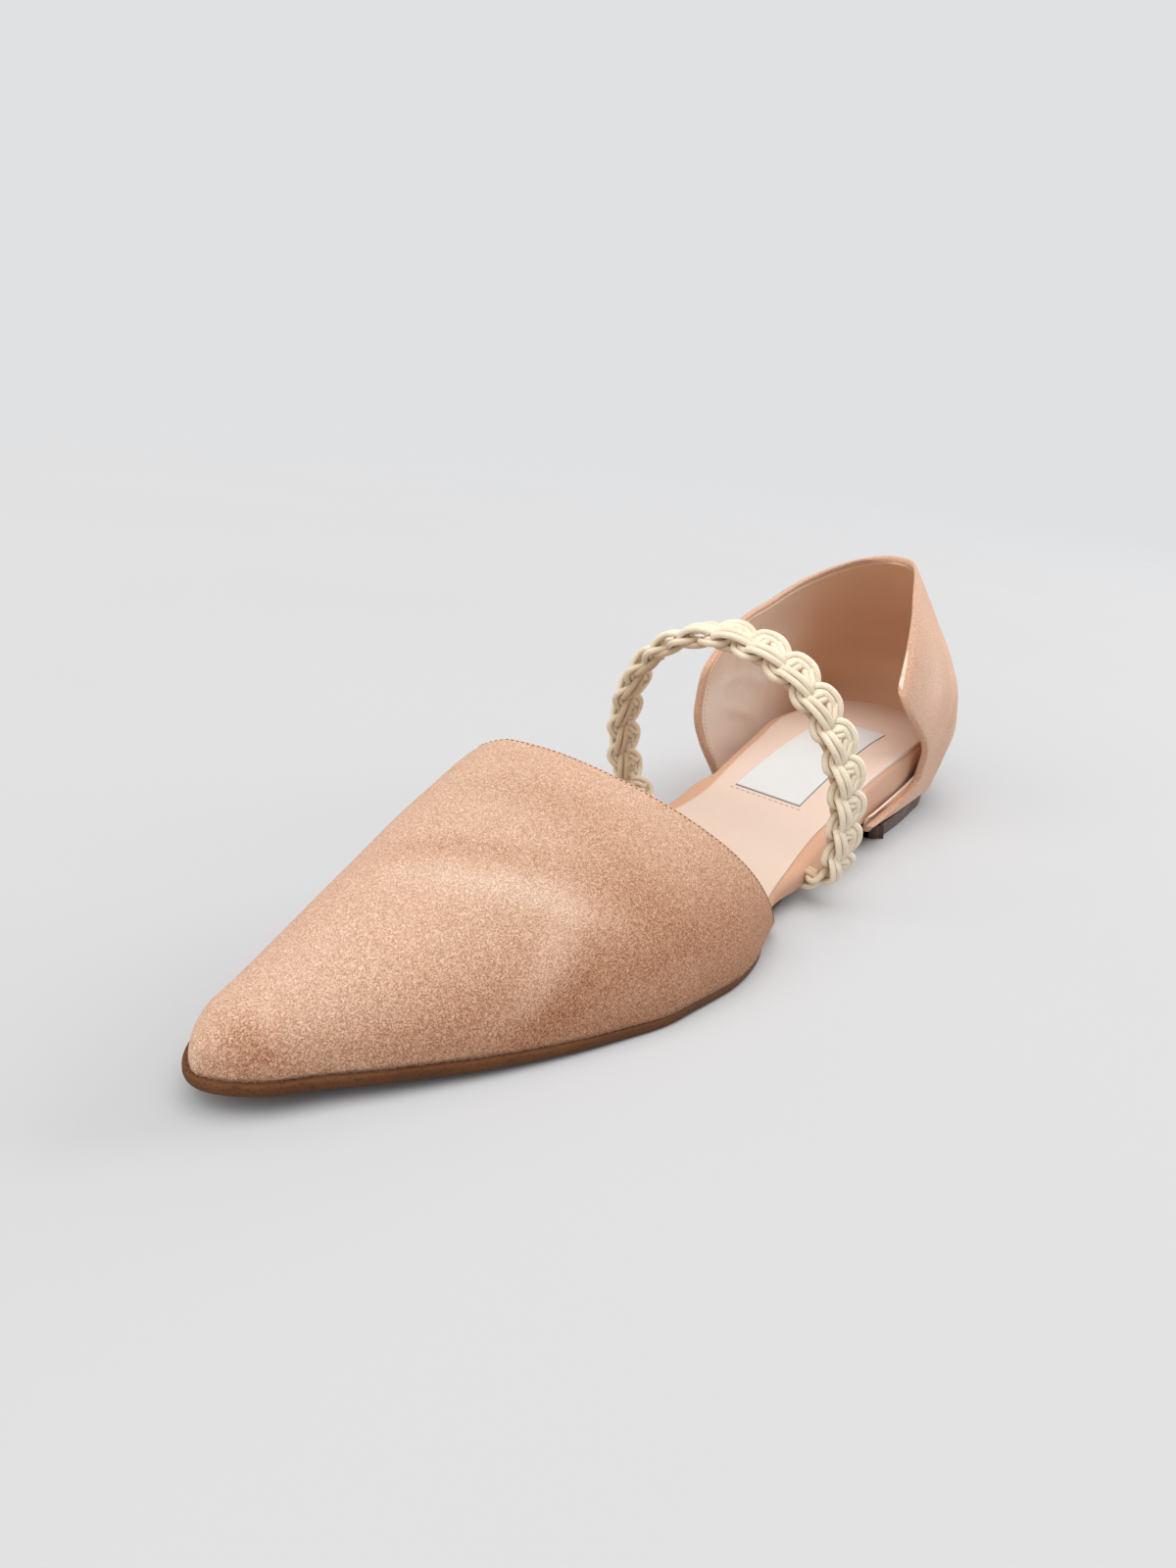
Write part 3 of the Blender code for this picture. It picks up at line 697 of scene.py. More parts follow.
@dataclass(frozen=True)
class Cloth(Finish):
    """A fine flat weave."""

    gap: Colour = (0.7, 0.7, 0.7)
    thread_scale: float = 12000
    soil_scale: float = 90
    depth: float = 0.03 * MM

    def surface(self, g: Graph, shader: Sockets, place: Socket) -> None:
        """Add the weave and a faint unevenness."""
        parts = g.add("ShaderNodeSeparateXYZ", {0: place}).outputs
        warp, weft = (g.maths("SINE", g.times(parts[way], self.thread_scale)) for way in "XY")
        weave = g.times(warp, weft)
        soil = g.spread(g.noise(place, self.soil_scale, 0.5, 0.3), 0.4, 0.8)
        colour = g.mix(g.times(g.spread(weave, 0.2, -1), 0.3), self.base, self.gap)
        g.feed(shader["Base Color"], g.mix(g.times(soil, 0.25), colour, self.gap))
        self.relief(g, shader, weave, self.depth)


@dataclass(frozen=True)
class Paper(Finish):
    """The studio floor: plain paper that fades into the backdrop's light far away."""

    mottle_scale: float = 5
    mottle: float = 0.97
    fade_start: float = 0.7
    fade_end: float = 2.2

    def surface(self, g: Graph, shader: Sockets, place: Socket) -> None:
        """Add a faint mottle and the fade."""
        dim = tuple(self.mottle * part for part in self.base)
        g.feed(shader["Base Color"],
               g.mix(g.noise(place, self.mottle_scale, 0.5, 0.2), self.base, dim))
        far = g.add("ShaderNodeVectorMath", {0: place}, operation="LENGTH").outputs["Value"]
        g.feed(shader["Alpha"], g.spread(far, self.fade_start, self.fade_end, 1, 0))


# on the vamp, SUEDE's dark colour paints the shade of the outer flank and the crease troughs, and its
# light colour paints the light on the crease ridges
# name, base colour, roughness, specular level, sheen's weight, roughness and tint
SUEDE = Suede("peach_suede", (1.0, 0.70, 0.53), 0.93, 0.10, 0.28, 0.45, (1.0, 0.80, 0.66),
              shade_and_dark_tone=(0.76, 0.42, 0.25), light=(1.0, 0.80, 0.67), between=(0.59, 0.45, 0.34),
              depth=0.42 * MM)
FOLDED = Suede("cup_suede_finish", (0.81, 0.52, 0.37), 0.93, 0.12, 0.35, 0.5, (1.0, 0.84, 0.74),
               shade_and_dark_tone=(0.70, 0.41, 0.28), light=(0.96, 0.72, 0.60), between=(0.68, 0.58, 0.50),
               depth=0.22 * MM)
WRAP = Suede("footbed_suede", (0.66, 0.38, 0.25), 0.9, 0.15, 0.25, 0.5, (1.0, 0.82, 0.70),
             shade_and_dark_tone=(0.52, 0.28, 0.17), light=(0.74, 0.46, 0.33), between=(0.88, 0.84, 0.80),
             depth=0.06 * MM)
SOCK = Leather("sock_leather_smooth", (0.72, 0.56, 0.46), 0.50, 0.35, worn=(0.67, 0.50, 0.40))
LINING = Leather("lining_leather", (0.93, 0.79, 0.68), 0.72, 0.25, worn=(0.78, 0.60, 0.47),
                 painted_shade=(0.75, 0.46, 0.29), wear=0.5, ripple_scale=330, depth=0.10 * MM)
SOLE = Rubber("sole_edge", (0.115, 0.044, 0.017), 0.66, 0.12, speck=(0.03, 0.013, 0.007),
              stain=(0.18, 0.075, 0.032))
HEEL = Rubber("heel_stack_dark", (0.095, 0.045, 0.028), 0.5, 0.3, speck=(0.03, 0.014, 0.010),
              stain=(0.13, 0.065, 0.042), layers=6200)
ELASTIC = Cord("elastic_cord", (0.97, 0.87, 0.70), 0.60, 0.25, 0.15, 0.4, (1.0, 0.95, 0.85),
               dirt_and_shade=(0.52, 0.36, 0.21))
LABEL = Cloth("label_weave", (0.68, 0.68, 0.665), 0.55, 0.3)
# a dark sheet just larger than the label, which paints the shadow line along its edges
LABEL_SHADOW = Finish("label_painted_shadow", (0.25, 0.24, 0.25), 0.7, 0.2)
THREAD = Finish("peach_thread", (0.60, 0.36, 0.25), 0.6, 0.3, 0.2)
# dark marks that paint the shade inside the needle holes
HOLE_SHADE = Finish("needle_hole_shade", (0.16, 0.06, 0.035), 0.95, 0.05)
FUZZ = Finish("suede_fuzz", (0.88, 0.58, 0.41), 0.9, 0.1, 0.3)
FLOOR = Paper("studio_paper", (0.53, 0.53, 0.535), 0.9, 0.1)


class Rule:
    """A Geometry Nodes tree with named inputs, run once on a mesh of paths."""

    def __init__(self, name: str, finish: Finish, inputs: dict[str, float]) -> None:
        """Start the tree and turn its paths into curves.

        Args:
            name: The tree's name.
            finish: The finish of what it makes.
            inputs: Its named number inputs; a whole number makes an integer input.
        """
        self.finish = finish
        self.values = inputs
        self.tree = bpy.data.node_groups.new(name, "GeometryNodeTree")
        face = self.tree.interface
        face.new_socket("Geometry", in_out="INPUT", socket_type="NodeSocketGeometry")
        self.keys = {}
        for key, value in inputs.items():
            kind = "NodeSocketInt" if isinstance(value, int) else "NodeSocketFloat"
            self.keys[key] = face.new_socket(key, in_out="INPUT", socket_type=kind).identifier
        face.new_socket("Geometry", in_out="OUTPUT", socket_type="NodeSocketGeometry")
        self.graph = Graph(self.tree)
        self.given = self.graph.add("NodeGroupInput").outputs
        self.curve = self.step("MeshToCurve", {"Mesh": self.given["Geometry"]})

    def step(self, kind: str, inputs: dict[str, Value], output: str = "", **settings: object
             ) -> Socket:
        """Add a geometry node and return its output of this name, or else its first."""
        made = self.graph.add("GeometryNode" + kind, inputs, **settings).outputs
        return made[output or 0]

    def end(self, geometry: Socket) -> None:
        """Finish the tree: realize the instances and set their material."""
        real = self.step("RealizeInstances", {"Geometry": geometry})
        soft = self.step("SetShadeSmooth", {"Geometry": real, "Shade Smooth": True})
        dressed = self.step("SetMaterial", {"Geometry": soft, "Material": self.finish.material()})
        self.graph.add("NodeGroupOutput", {0: dressed})

    def scatter(self, dots: Socket, piece: Socket, turn: Socket,
                size: tuple[Value, Value, Value]) -> None:
        """Set a turned and sized copy of a piece on each dot and finish the tree."""
        scale = self.graph.add("ShaderNodeCombineXYZ", dict(enumerate(size))).outputs[0]
        self.end(self.step("InstanceOnPoints", {"Points": dots, "Instance": piece,
                                                "Rotation": turn, "Scale": scale}))

    def run(self, name: str, paths: bpy.types.Mesh, slot: Slot) -> Piece:
        """Run the tree on a mesh of paths and keep the result as a plain mesh.

        Args:
            name: The new piece's name.
            paths: The mesh that the tree works on.
            slot: Not used.

        Returns:
            The new piece.
        """
        carrier = add_object(name + "_paths", paths)
        modifier = carrier.modifiers.new("rule", "NODES")
        modifier.node_group = self.tree
        for key, value in self.values.items():
            modifier[self.keys[key]] = value
        graph = bpy.context.evaluated_depsgraph_get()
        mesh = bpy.data.meshes.new_from_object(carrier.evaluated_get(graph), depsgraph=graph)
        carrier.modifiers.clear()
        bpy.data.objects.remove(carrier)
        mesh.name = name
        return dress(add_object(name, mesh), self.finish)


def path_mesh(lines: Sequence[Array], **marks: Sequence[Array]) -> bpy.types.Mesh:
    """Make a mesh of open lines, with the run along each in the attribute along.

    Args:
        lines: The points of each line.
        **marks: For each further attribute, its numbers or vectors on each line's points.

    Returns:
        The mesh, which has edges and no faces.
    """
    edges, run, start = [], [], 0
    for line in lines:
        edges += [(start + i, start + i + 1) for i in range(len(line) - 1)]
        steps = np.linalg.norm(np.diff(line, axis=0), axis=1)
        run.append(np.concatenate(([0], np.cumsum(steps))))
        start += len(line)
    mesh = bpy.data.meshes.new("paths")
    mesh.from_pydata(np.concatenate(lines).tolist(), edges, [])
    for name, values in {"along": run, **marks}.items():
        values = np.concatenate(values)
        kind, key = ("FLOAT", "value") if values.ndim == 1 else ("FLOAT_VECTOR", "vector")
        mesh.attributes.new(name, kind, "POINT").data.foreach_set(key, values.ravel())
    return mesh


def cord_rule(radius: float, sides: int) -> Rule:
    """Return the rule that makes round cords along paths."""
    rule = Rule("cords along paths", ELASTIC, {"Radius": radius, "Sides": sides})
    ring = rule.step("CurvePrimitiveCircle", {"Resolution": rule.given["Sides"],
                                              "Radius": rule.given["Radius"]})
    rule.end(rule.step("CurveToMesh", {"Curve": rule.curve, "Profile Curve": ring,
                                       "Fill Caps": True}))
    return rule


def stitch_rule(pitch: float, length: float, radius: float, finish: Finish) -> Rule:
    """Return the rule that lays short stitches end to end along a path."""
    rule = Rule("stitches along a path", finish,
                {"Pitch": pitch, "Length": length, "Radius": radius})
    dots = rule.graph.add("GeometryNodeCurveToPoints", {"Curve": rule.curve,
                          "Length": rule.given["Pitch"]}, mode="LENGTH").outputs
    ball = rule.step("MeshUVSphere", {"Segments": 8, "Rings": 5, "Radius": 1.0})
    wide, half = rule.given["Radius"], rule.graph.times(rule.given["Length"], 0.5)
    rule.scatter(dots["Points"], ball, dots["Rotation"], (wide, wide, half))
    return rule


def fuzz_rule(count: int, length: float, radius: float, seed: int) -> Rule:
    """Return the rule that sets short loose fibres along an edge, each at its own lean."""
    rule = Rule("loose fibres along an edge", FUZZ,
                {"Count": count, "Length": length, "Radius": radius, "Seed": seed})
    g, given = rule.graph, rule.given
    lean, shortest = (0.9, 0.9, 0.6), 0.35
    dots = rule.step("CurveToPoints", {"Curve": rule.curve, "Count": given["Count"]}, "Points",
                     mode="COUNT")
    fibre = rule.step("MeshCone", {"Vertices": 3, "Radius Bottom": given["Radius"],
                                   "Depth": given["Length"]}, fill_type="NGON")
    way = rule.step("InputNamedAttribute", {"Name": "outward"}, data_type="FLOAT_VECTOR")
    jitter = g.add("FunctionNodeRandomValue", {0: tuple(-part for part in lean), 1: lean,
                   "Seed": given["Seed"]}, data_type="FLOAT_VECTOR").outputs[0]
    aim = g.add("ShaderNodeVectorMath", {0: way, 1: jitter}, operation="ADD").outputs[0]
    turn = g.add("FunctionNodeAlignRotationToVector", {"Vector": aim}, axis="Z").outputs[0]
    tall = g.add("FunctionNodeRandomValue", {2: shortest, 3: 1.0, "Seed": given["Seed"]},
                 data_type="FLOAT").outputs[1]
    rule.scatter(dots, fibre, turn, (1.0, 1.0, tall))
    return rule


@dataclass
class Vamp:
    """The pointed front upper, its lining, its stitched throat and its loose fibres."""

    wall: float = 1.6 * MM
    lining_from: float = 1.3 * MM
    lining_to: float = 1.8 * MM
    lining_setback: float = 1.1 * MM
    feather_curl: float = 0.9 * MM
    foot_gap: float = 0.05 * MM
    stitch_setback: float = 1.1 * MM
    stitch_pitch: float = 1.15 * MM
    hole_radius: float = 0.19 * MM
    hole_length: float = 0.62 * MM
    hole_depth: float = 0.06 * MM
    fibre_length: float = 0.55 * MM
    fibre_radius: float = 0.035 * MM
    fibre_count: int = 1500
    fibre_place: float = 0.0035
    droop: float = -0.35
    # the power by which the ridge falls off at the round toe
    toe_fall: float = 0.55
    rows: int = 120
    columns: int = 110
    # places around the section, close together at the feather edge
    near_feather: tuple[float, ...] = (0, 0.0012, 0.003, 0.0055, 0.009, 0.014, 0.021, 0.03)

    # share of length, height in instep heights, shift and outer bulge in ball widths,
    # exponent of the section
    ridge: Table = (
        (0.520, 0.97, 0.290, 0.020, 2.10),
        (0.620, 0.99, 0.280, 0.042, 1.98),
        (0.690, 0.99, 0.255, 0.036, 1.95),
        (0.769, 0.86, 0.170, 0.022, 1.96),
        (0.843, 0.67, 0.095, 0.010, 2.00),
        (0.910, 0.50, 0.045, 0.004, 2.00),
        (0.959, 0.39, 0.015, 0.000, 2.05),
        (1.000, 0.33, 0.000, 0.000, 2.20),
    )
    # place around the edge from the outer feather, share of length
    throat: Table = (
        (0.00, 0.537), (0.10, 0.585), (0.20, 0.620), (0.32, 0.658), (0.43, 0.686),
        (0.52, 0.704), (0.58, 0.709), (0.66, 0.700), (0.80, 0.660), (1.00, 0.575),
    )
    # around and along of the middle, reach around and along, slant, mm outwards
    creases: Table = (
        (0.40, 0.395, 0.16, 0.045, 0.42, -0.17),
        (0.33, 0.455, 0.16, 0.060, 0.42, 0.13),
        (0.26, 0.270, 0.16, 0.060, -0.30, -0.15),
        (0.16, 0.500, 0.14, 0.070, -1.20, 0.12),
        (0.08, 0.570, 0.14, 0.060, -1.20, -0.14),
        (0.50, 0.130, 0.20, 0.060, 0.10, -0.16),
    )
    # around and along of the middle, reach around and along, slant, tone; below 0 this is painted shade
    # on the outer flank and in the crease troughs, and it also darkens the outer side near the tip;
    # above 0 it is painted light on the crease ridges, and elsewhere a paler tone
    patches: Table = (
        (0.40, 0.395, 0.24, 0.060, 0.42, -0.30),
        (0.33, 0.455, 0.24, 0.070, 0.42, 0.40),
        (0.26, 0.270, 0.20, 0.110, -0.30, -0.22),
        (0.39, 0.180, 0.18, 0.100, 0.20, -0.22),
        (0.16, 0.530, 0.16, 0.090, -1.20, 0.45),
        (0.07, 0.570, 0.14, 0.080, -1.20, -0.25),
        (0.42, 0.700, 0.16, 0.500, 0.00, 0.10),
        (0.24, 0.950, 0.40, 0.070, 0.00, -0.50),
        (0.06, 0.350, 0.06, 0.300, 0.00, 0.30),
        (0.04, 0.300, 0.29, 1.100, 0.00, -1.05),
    )

    def length_at(self, around: Array) -> Array:
        """Return the distance from throat to tip at each place around."""
        return LAST.tip - (LAST.back + smooth(around, self.throat, 1) * LAST.length)

    def form(self, around: Array, along: Array, inset: Array) -> Array:
        """Return points of the vamp's form.

        Args:
            around: 0 at the outer feather, 1 at the inner one.
            along: 0 at the throat, 1 at the tip.
            inset: How deep in the wall each point lies.

        Returns:
            The points, with a last axis of 3.
        """
        throat = LAST.back + smooth(around, self.throat, 1) * LAST.length
        tip = LAST.tip - inset
        y = throat + (tip - throat) * along
        share = LAST.share(y)
        centre, half = LAST.width(y)
        end = round_end(tip - y, LAST.toe_round)
        half = (half - inset) * end
        base = LAST.feather(y) + self.foot_gap
        rise = (smooth(share, self.ridge, 1) * LAST.instep_height - inset - base) * end ** self.toe_fall
        shift = smooth(share, self.ridge, 2) * LAST.ball_width * end
        bulge = smooth(share, self.ridge, 3) * LAST.ball_width
        power = 2 / smooth(share, self.ridge, 4)
        angle = math.pi * around
        side = np.where(around < 0.5, -1, 1)
        across = np.abs(np.cos(angle)) ** power
        up = np.maximum(np.sin(angle), 0) ** power
        swell = np.where(around < 0.5, bulge * np.sin(2 * angle), 0)
        height = rise * up
        curl = rim_inset(height, self.feather_curl)
        x = centre + shift + side * ((half - side * shift) * across + swell - curl)
        return np.stack([x, y, base + height], axis=-1)

    def grid(self, setback: float, radius: float) -> tuple[Array, Array]:
        """Return the places around and along at which the wall has its points.

        Args:
            setback: How far the wall starts from the throat's edge.
            radius: The radius of its rounded edge.

        Returns:
            Two matching grids of places around and along.
        """
        middle = np.linspace(0.04, 0.96, self.rows)
        far = [1 - place for place in reversed(self.near_feather)]
        around = np.array([*self.near_feather, *middle, *far])[:, None]
        length = self.length_at(around)
        rim = (setback + np.array(rim_steps(radius, 6))) / length
        start = (setback + radius) / length
        shares = np.sin(QUARTER * np.linspace(0, 1, self.columns) ** 1.1)
        along = np.concatenate([rim, start + (1 - start) * shares], axis=1)
        return np.broadcast_to(around, along.shape), along

    def wall_between(self, outer: float, inner: float, setback: float
                     ) -> tuple[Array, Array, Array, Array]:
        """Return both faces of a wall with a rounded throat edge, and their places."""
        radius = (inner - outer) / 2
        around, along = self.grid(setback, radius)
        round_in = rim_inset(along * self.length_at(around) - setback, radius)
        front = self.form(around, along, outer + round_in)
        back = self.form(around, along, inner - round_in)
        free = ease(around, 0.02, 0.15) * (1 - ease(around, 0.85, 0.98))
        swell = spots(self.creases, around, along) * MM * free
        push = grid_normals(front) * swell[..., None]
        return front + push, back + push, around, along

    def build(self) -> list[Piece]:
        """Build and dress the vamp's pieces."""
        front, back, around, along = self.wall_between(0, self.wall, 0)
        # painted shade and painted light on the vamp, from its patches
        tone_and_shade = spots(self.patches, around, along)
        shell = new_piece("vamp_suede", closed_wall(front, back, tone_and_shade), SUEDE)
        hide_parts("vamp")
        front, back, _, _ = self.wall_between(self.lining_from, self.lining_to,
                                              self.lining_setback)
        lining = new_piece("vamp_lining", closed_wall(front, back), LINING)
        return [shell, lining, self.needle_row(), self.fibres()]

    def needle_row(self) -> Piece:
        """Make the row of needle holes inside the throat's edge, as dark marks that paint the shade in
        them.
        """
        around = np.linspace(0.015, 0.985, 400)
        along = self.stitch_setback / self.length_at(around)
        line = self.form(around, along, np.full_like(around, self.hole_depth))
        line[:, 2] += spots(self.creases, around, along) * MM
        rule = stitch_rule(self.stitch_pitch, self.hole_length, self.hole_radius, HOLE_SHADE)
        return rule.run("vamp_needle_hole_shade", path_mesh([line]), Slot.SUEDE)

    def fibres(self) -> Piece:
        """Make the loose fibres along the feather edge, leaning out and a little down."""
        lines, ways = [], []
        along = np.linspace(0.0, 0.999, 300)
        for side, around in ((Side.OUTER, self.fibre_place), (Side.INNER, 1 - self.fibre_place)):
            line = self.form(np.full_like(along, around), along, np.zeros_like(along))
            out = side.value * beside(unit(np.gradient(line, axis=0)))
            lines.append(line)
            ways.append(np.column_stack([out, np.full(len(out), self.droop)]))
        rule = fuzz_rule(self.fibre_count, self.fibre_length, self.fibre_radius, seed=7)
        return rule.run("vamp_loose_fibres", path_mesh(lines, outward=ways), Slot.SUEDE)


def grid_normals(points: Array) -> Array:
    """Return the unit normals of a grid of points, pointing away from its inside."""
    normal = unit(np.cross(np.gradient(points, axis=1), np.gradient(points, axis=0)))
    middle = points.reshape(-1, 3).mean(axis=0) * (1, 1, 0)
    away = np.einsum("ijk,ijk->ij", normal, points - middle)
    return normal * (1 if np.median(away) > 0 else -1)


@dataclass
class HeelCup:
    """The heel cup, its lining, its folded edge and its stitches."""

    height: float = 76 * MM
    wall: float = 2.0 * MM
    lining_from: float = 1.65 * MM
    lining_to: float = 2.25 * MM
    lining_setback: float = 1.7 * MM
    foot_drop: float = 1.2 * MM
    feather_curl: float = 0.9 * MM
    stitch_setback: float = 2.6 * MM
    stitch_pitch: float = 1.6 * MM
    lean_in: float = 6.6 * MM
    tuck_in: float = 1.8 * MM
    lining_fold: float = 2.6 * MM
    stitch_length: float = 1.0 * MM
    stitch_radius: float = 0.12 * MM
    fibre_length: float = 0.45 * MM
    fibre_radius: float = 0.03 * MM
    fibre_count: int = 520
    fibre_place: float = 0.012
    # the foot's fibres point away from the seat's middle, more so further out, and down
    seat_middle: float = 20 * MM
    fan: float = 30
    droop: float = -0.3
    stitch_rise: float = 0.02 * MM
    # about how far the edge runs for one step around at the front, and for one step up
    edge_run: float = 130 * MM / 0.75
    edge_rise: float = 60 * MM
    # the power by which places around lie closer together at the back
    crowding: float = 1.8
    # from which place up the outer side leans in, and the power by which it does
    lean_from: float = 0.45
    lean_power: float = 1.8
    fold_way: Triple = (0, 0.3, 0.9)
    deepest_hollow: float = 0.25 * MM
    rows: int = 130
    columns: int = 60
    # places up the wall, close together at the feather edge
    near_feather: tuple[float, ...] = (0, 0.004, 0.010, 0.018, 0.03)

    # height in cup heights, back in cup heights, half width in heel widths, round in
    # heel rounds
    cup: Table = (
        (0.10, 0.000, 0.502, 1.00),
        (0.24, 0.055, 0.537, 1.17),
        (0.37, 0.092, 0.561, 1.35),
        (0.50, 0.078, 0.561, 1.70),
        (0.66, -0.015, 0.540, 2.05),
        (0.82, -0.185, 0.500, 2.22),
        (1.00, -0.410, 0.475, 2.28),
    )
    # share of length, height in cup heights
    outer_top: Table = ((0.000, 1.03), (0.10, 0.975), (0.20, 0.905), (0.28, 0.780),
                        (0.306, 0.690), (0.32, 0.610))
    inner_top: Table = ((0.000, 1.03), (0.15, 0.905), (0.23, 0.838), (0.31, 0.785),
                        (0.355, 0.690))
    # share of the edge's own height, share of length
    outer_front: Table = ((0.00, 0.292), (0.06, 0.294), (0.085, 0.225), (0.125, 0.180),
                          (0.20, 0.166), (0.36, 0.175), (0.51, 0.190), (0.66, 0.214),
                          (0.80, 0.245), (0.90, 0.259), (0.96, 0.261), (1.00, 0.256))
    inner_front: Table = ((0.00, 0.312), (0.15, 0.333), (0.35, 0.362), (0.60, 0.385),
                          (0.80, 0.386), (1.00, 0.362))

    # around and up of the middle, reach around and up, slant, mm into the cup
    wrinkles: Table = (
        (0.80, 0.55, 0.10, 0.05, 1.2, 0.80),
        (0.72, 0.62, 0.10, 0.05, 1.6, -0.50),
        (0.86, 0.40, 0.08, 0.05, 1.4, 0.80),
        (0.78, 0.42, 0.09, 0.04, 1.8, -0.50),
        (0.90, 0.62, 0.05, 0.06, 0.6, 0.60),
    )
    # around and up of the middle, reach around and up, slant, tone
    patches: Table = (
        (-0.62, 0.62, 0.20, 0.10, 1.6, -0.525),
        (-0.80, 0.45, 0.16, 0.14, 1.2, -0.375),
        (-0.50, 0.35, 0.20, 0.20, 0.8, -0.30),
        (-0.90, 0.72, 0.12, 0.16, 0.8, 0.375),
        (-0.30, 0.80, 0.22, 0.20, 0.0, -0.30),
        (0.40, 0.60, 0.30, 0.30, 0.0, -0.225),
        (0.75, 0.35, 0.25, 0.30, 0.0, 0.30),
    )

    def form(self, around: Array, up: Array, inset: Array) -> Array:
        """Return points of the cup's form.

        Args:
            around: -1 at the outer front edge, 0 at the back, 1 at the inner front edge.
            up: 0 at the feather, 1 at the top line.
            inset: How deep in the wall each point lies.

        Returns:
            The points, with a last axis of 3.
        """
        outer = around < 0
        side = np.where(outer, -1, 1)
        reach = np.abs(around) ** self.crowding
        front = np.where(outer, smooth(up, self.outer_front, 1), smooth(up, self.inner_front, 1))
        front = LAST.back + front * LAST.length
        top = np.where(outer, smooth(self.outer_top[-1][0] * reach, self.outer_top, 1),
                       smooth(self.inner_top[-1][0] * reach, self.inner_top, 1))
        base = float(LAST.feather(np.array(LAST.back))) - self.foot_drop
        rise = up * (top * self.height - base)
        level = (base + rise) / self.height
        back = LAST.back - smooth(level, self.cup, 1) * self.height + inset
        half = smooth(level, self.cup, 2) * LAST.heel_width - inset
        length = smooth(level, self.cup, 3) * LAST.heel_round
        y = back + (front - back) * reach
        low = 1 - ease(up, 0.0, 0.10)
        z = base + rise + (LAST.feather(y) - self.foot_drop - base) * low
        curl = rim_inset(rise, self.feather_curl)
        centre = LAST.width(y)[0]
        x = centre + side * (half - curl) * round_end(y - back, length)
        lean = np.clip((up - self.lean_from) / (1 - self.lean_from), 0, 1) ** self.lean_power
        lean = lean * ease(-around, 0.05, 0.78)
        tuck = (1 - ease(up, 0.02, 0.09)) * ease(-around, 0.80, 1.0)
        return np.stack([x + self.lean_in * lean + self.tuck_in * tuck, y, z], axis=-1)

    def wall_between(self, outer: float, inner: float, setback: float, fold: float = 0
                     ) -> tuple[Array, Array, Array, Array]:
        """Make both faces of a wall with rounded top and front edges.

        Args:
            outer: How deep in the cup's wall its outer face lies.
            inner: How deep its inner face lies.
            setback: How far its edges lie behind the cup's own.
            fold: How far it rises out again at the foot of the outer front edge.

        Returns:
            Both faces, and the places around and up of their points.
        """
        radius = (inner - outer) / 2
        rim = setback + np.array(rim_steps(radius, 5))
        ends, tops = rim / self.edge_run, 1 - rim[::-1] / self.edge_rise
        body = np.linspace(-1 + ends[-1] * 1.3, 1 - ends[-1] * 1.3, self.rows)
        around = np.concatenate([-1 + ends, body, 1 - ends[::-1]])
        middle = np.linspace(0.05, tops[0] - 0.01, self.columns)
        ups = np.array([*self.near_feather, *middle, *tops])
        a, u = np.meshgrid(around, ups, indexing="ij")
        inside = np.minimum((1 - np.abs(a)) * self.edge_run, (1 - u) * self.edge_rise)
        round_in = rim_inset(inside - setback, radius)
        bulge = fold * (1 - ease(a, -1, -0.7)) * ease(u, 0, 0.03) * (1 - ease(u, 0.10, 0.25))
        push = bulge[..., None] * np.array(self.fold_way)
        front, back = (self.form(a, u, depth) + push
                       for depth in (outer + round_in, inner - round_in))
        return front, back, a, u

    def build(self) -> list[Piece]:
        """Build and dress the cup's pieces."""
        front, back, around, up = self.wall_between(0, self.wall, 0)
        tone_and_shade = spots(self.patches, around, up)
        shell = new_piece("cup_suede", closed_wall(front, back, tone_and_shade), FOLDED)
        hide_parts("counter")
        front, back, around, up = self.wall_between(self.lining_from, self.lining_to,
                                                    self.lining_setback, self.lining_fold)
        ripple = np.maximum(spots(self.wrinkles, around, up) * MM, -self.deepest_hollow)
        back = back - grid_normals(back) * ripple[..., None]
        # painted shade on the lining: darker over the back and the inside of the outer wall, where
        # shade falls, and paler on the inner wall's lower front and along the outer front edge
        pale = ease(around, 0.45, 0.80) * (1 - 0.6 * ease(up, 0.55, 0.90))
        pale += 1 - ease(around, -1, -0.9)
        lining = new_piece("cup_lining", closed_wall(front, back, pale - 1), LINING)
        return [shell, lining, self.stitches(), self.fibres()]

    def stitches(self) -> Piece:
        """Make the stitched row on the lining, along the front edges and the top."""
        ahead = 1 - self.stitch_setback / self.edge_run
        top = 1 - self.stitch_setback / self.edge_rise
        climb, over = np.linspace(0.04, top, 120), np.linspace(ahead, -ahead, 400)
        around = np.concatenate([np.full_like(climb, ahead), over, np.full_like(climb, -ahead)])
        up = np.concatenate([climb, np.full_like(over, top), climb[::-1]])
        line = self.form(around, up, np.full_like(around, self.lining_to + self.stitch_rise))
        rule = stitch_rule(self.stitch_pitch, self.stitch_length, self.stitch_radius, THREAD)
        return rule.run("cup_stitches", path_mesh([line]), Slot.SUEDE)

    def fibres(self) -> Piece:
        """Make the loose fibres along the cup's front edges and its foot."""
        up, around = np.linspace(0.02, 0.99, 120), np.linspace(-1, 1, 300)
        lines, ways = [], []
        for side in Side:
            lines.append(self.form(np.full_like(up, side.value), up, self.wall / 2))
            ways.append(np.tile((side.value * 0.5, 1.0, 0.0), (len(up), 1)))
        foot = self.form(around, np.full_like(around, self.fibre_place), np.zeros_like(around))
        lines.append(foot)
        seat = (0, self.seat_middle, foot[0, 2])
        ways.append((foot - seat) * (self.fan, self.fan, 0) + (0, 0, self.droop))
        rule = fuzz_rule(self.fibre_count, self.fibre_length, self.fibre_radius, seed=11)
        return rule.run("cup_loose_fibres", path_mesh(lines, outward=ways), Slot.SUEDE)


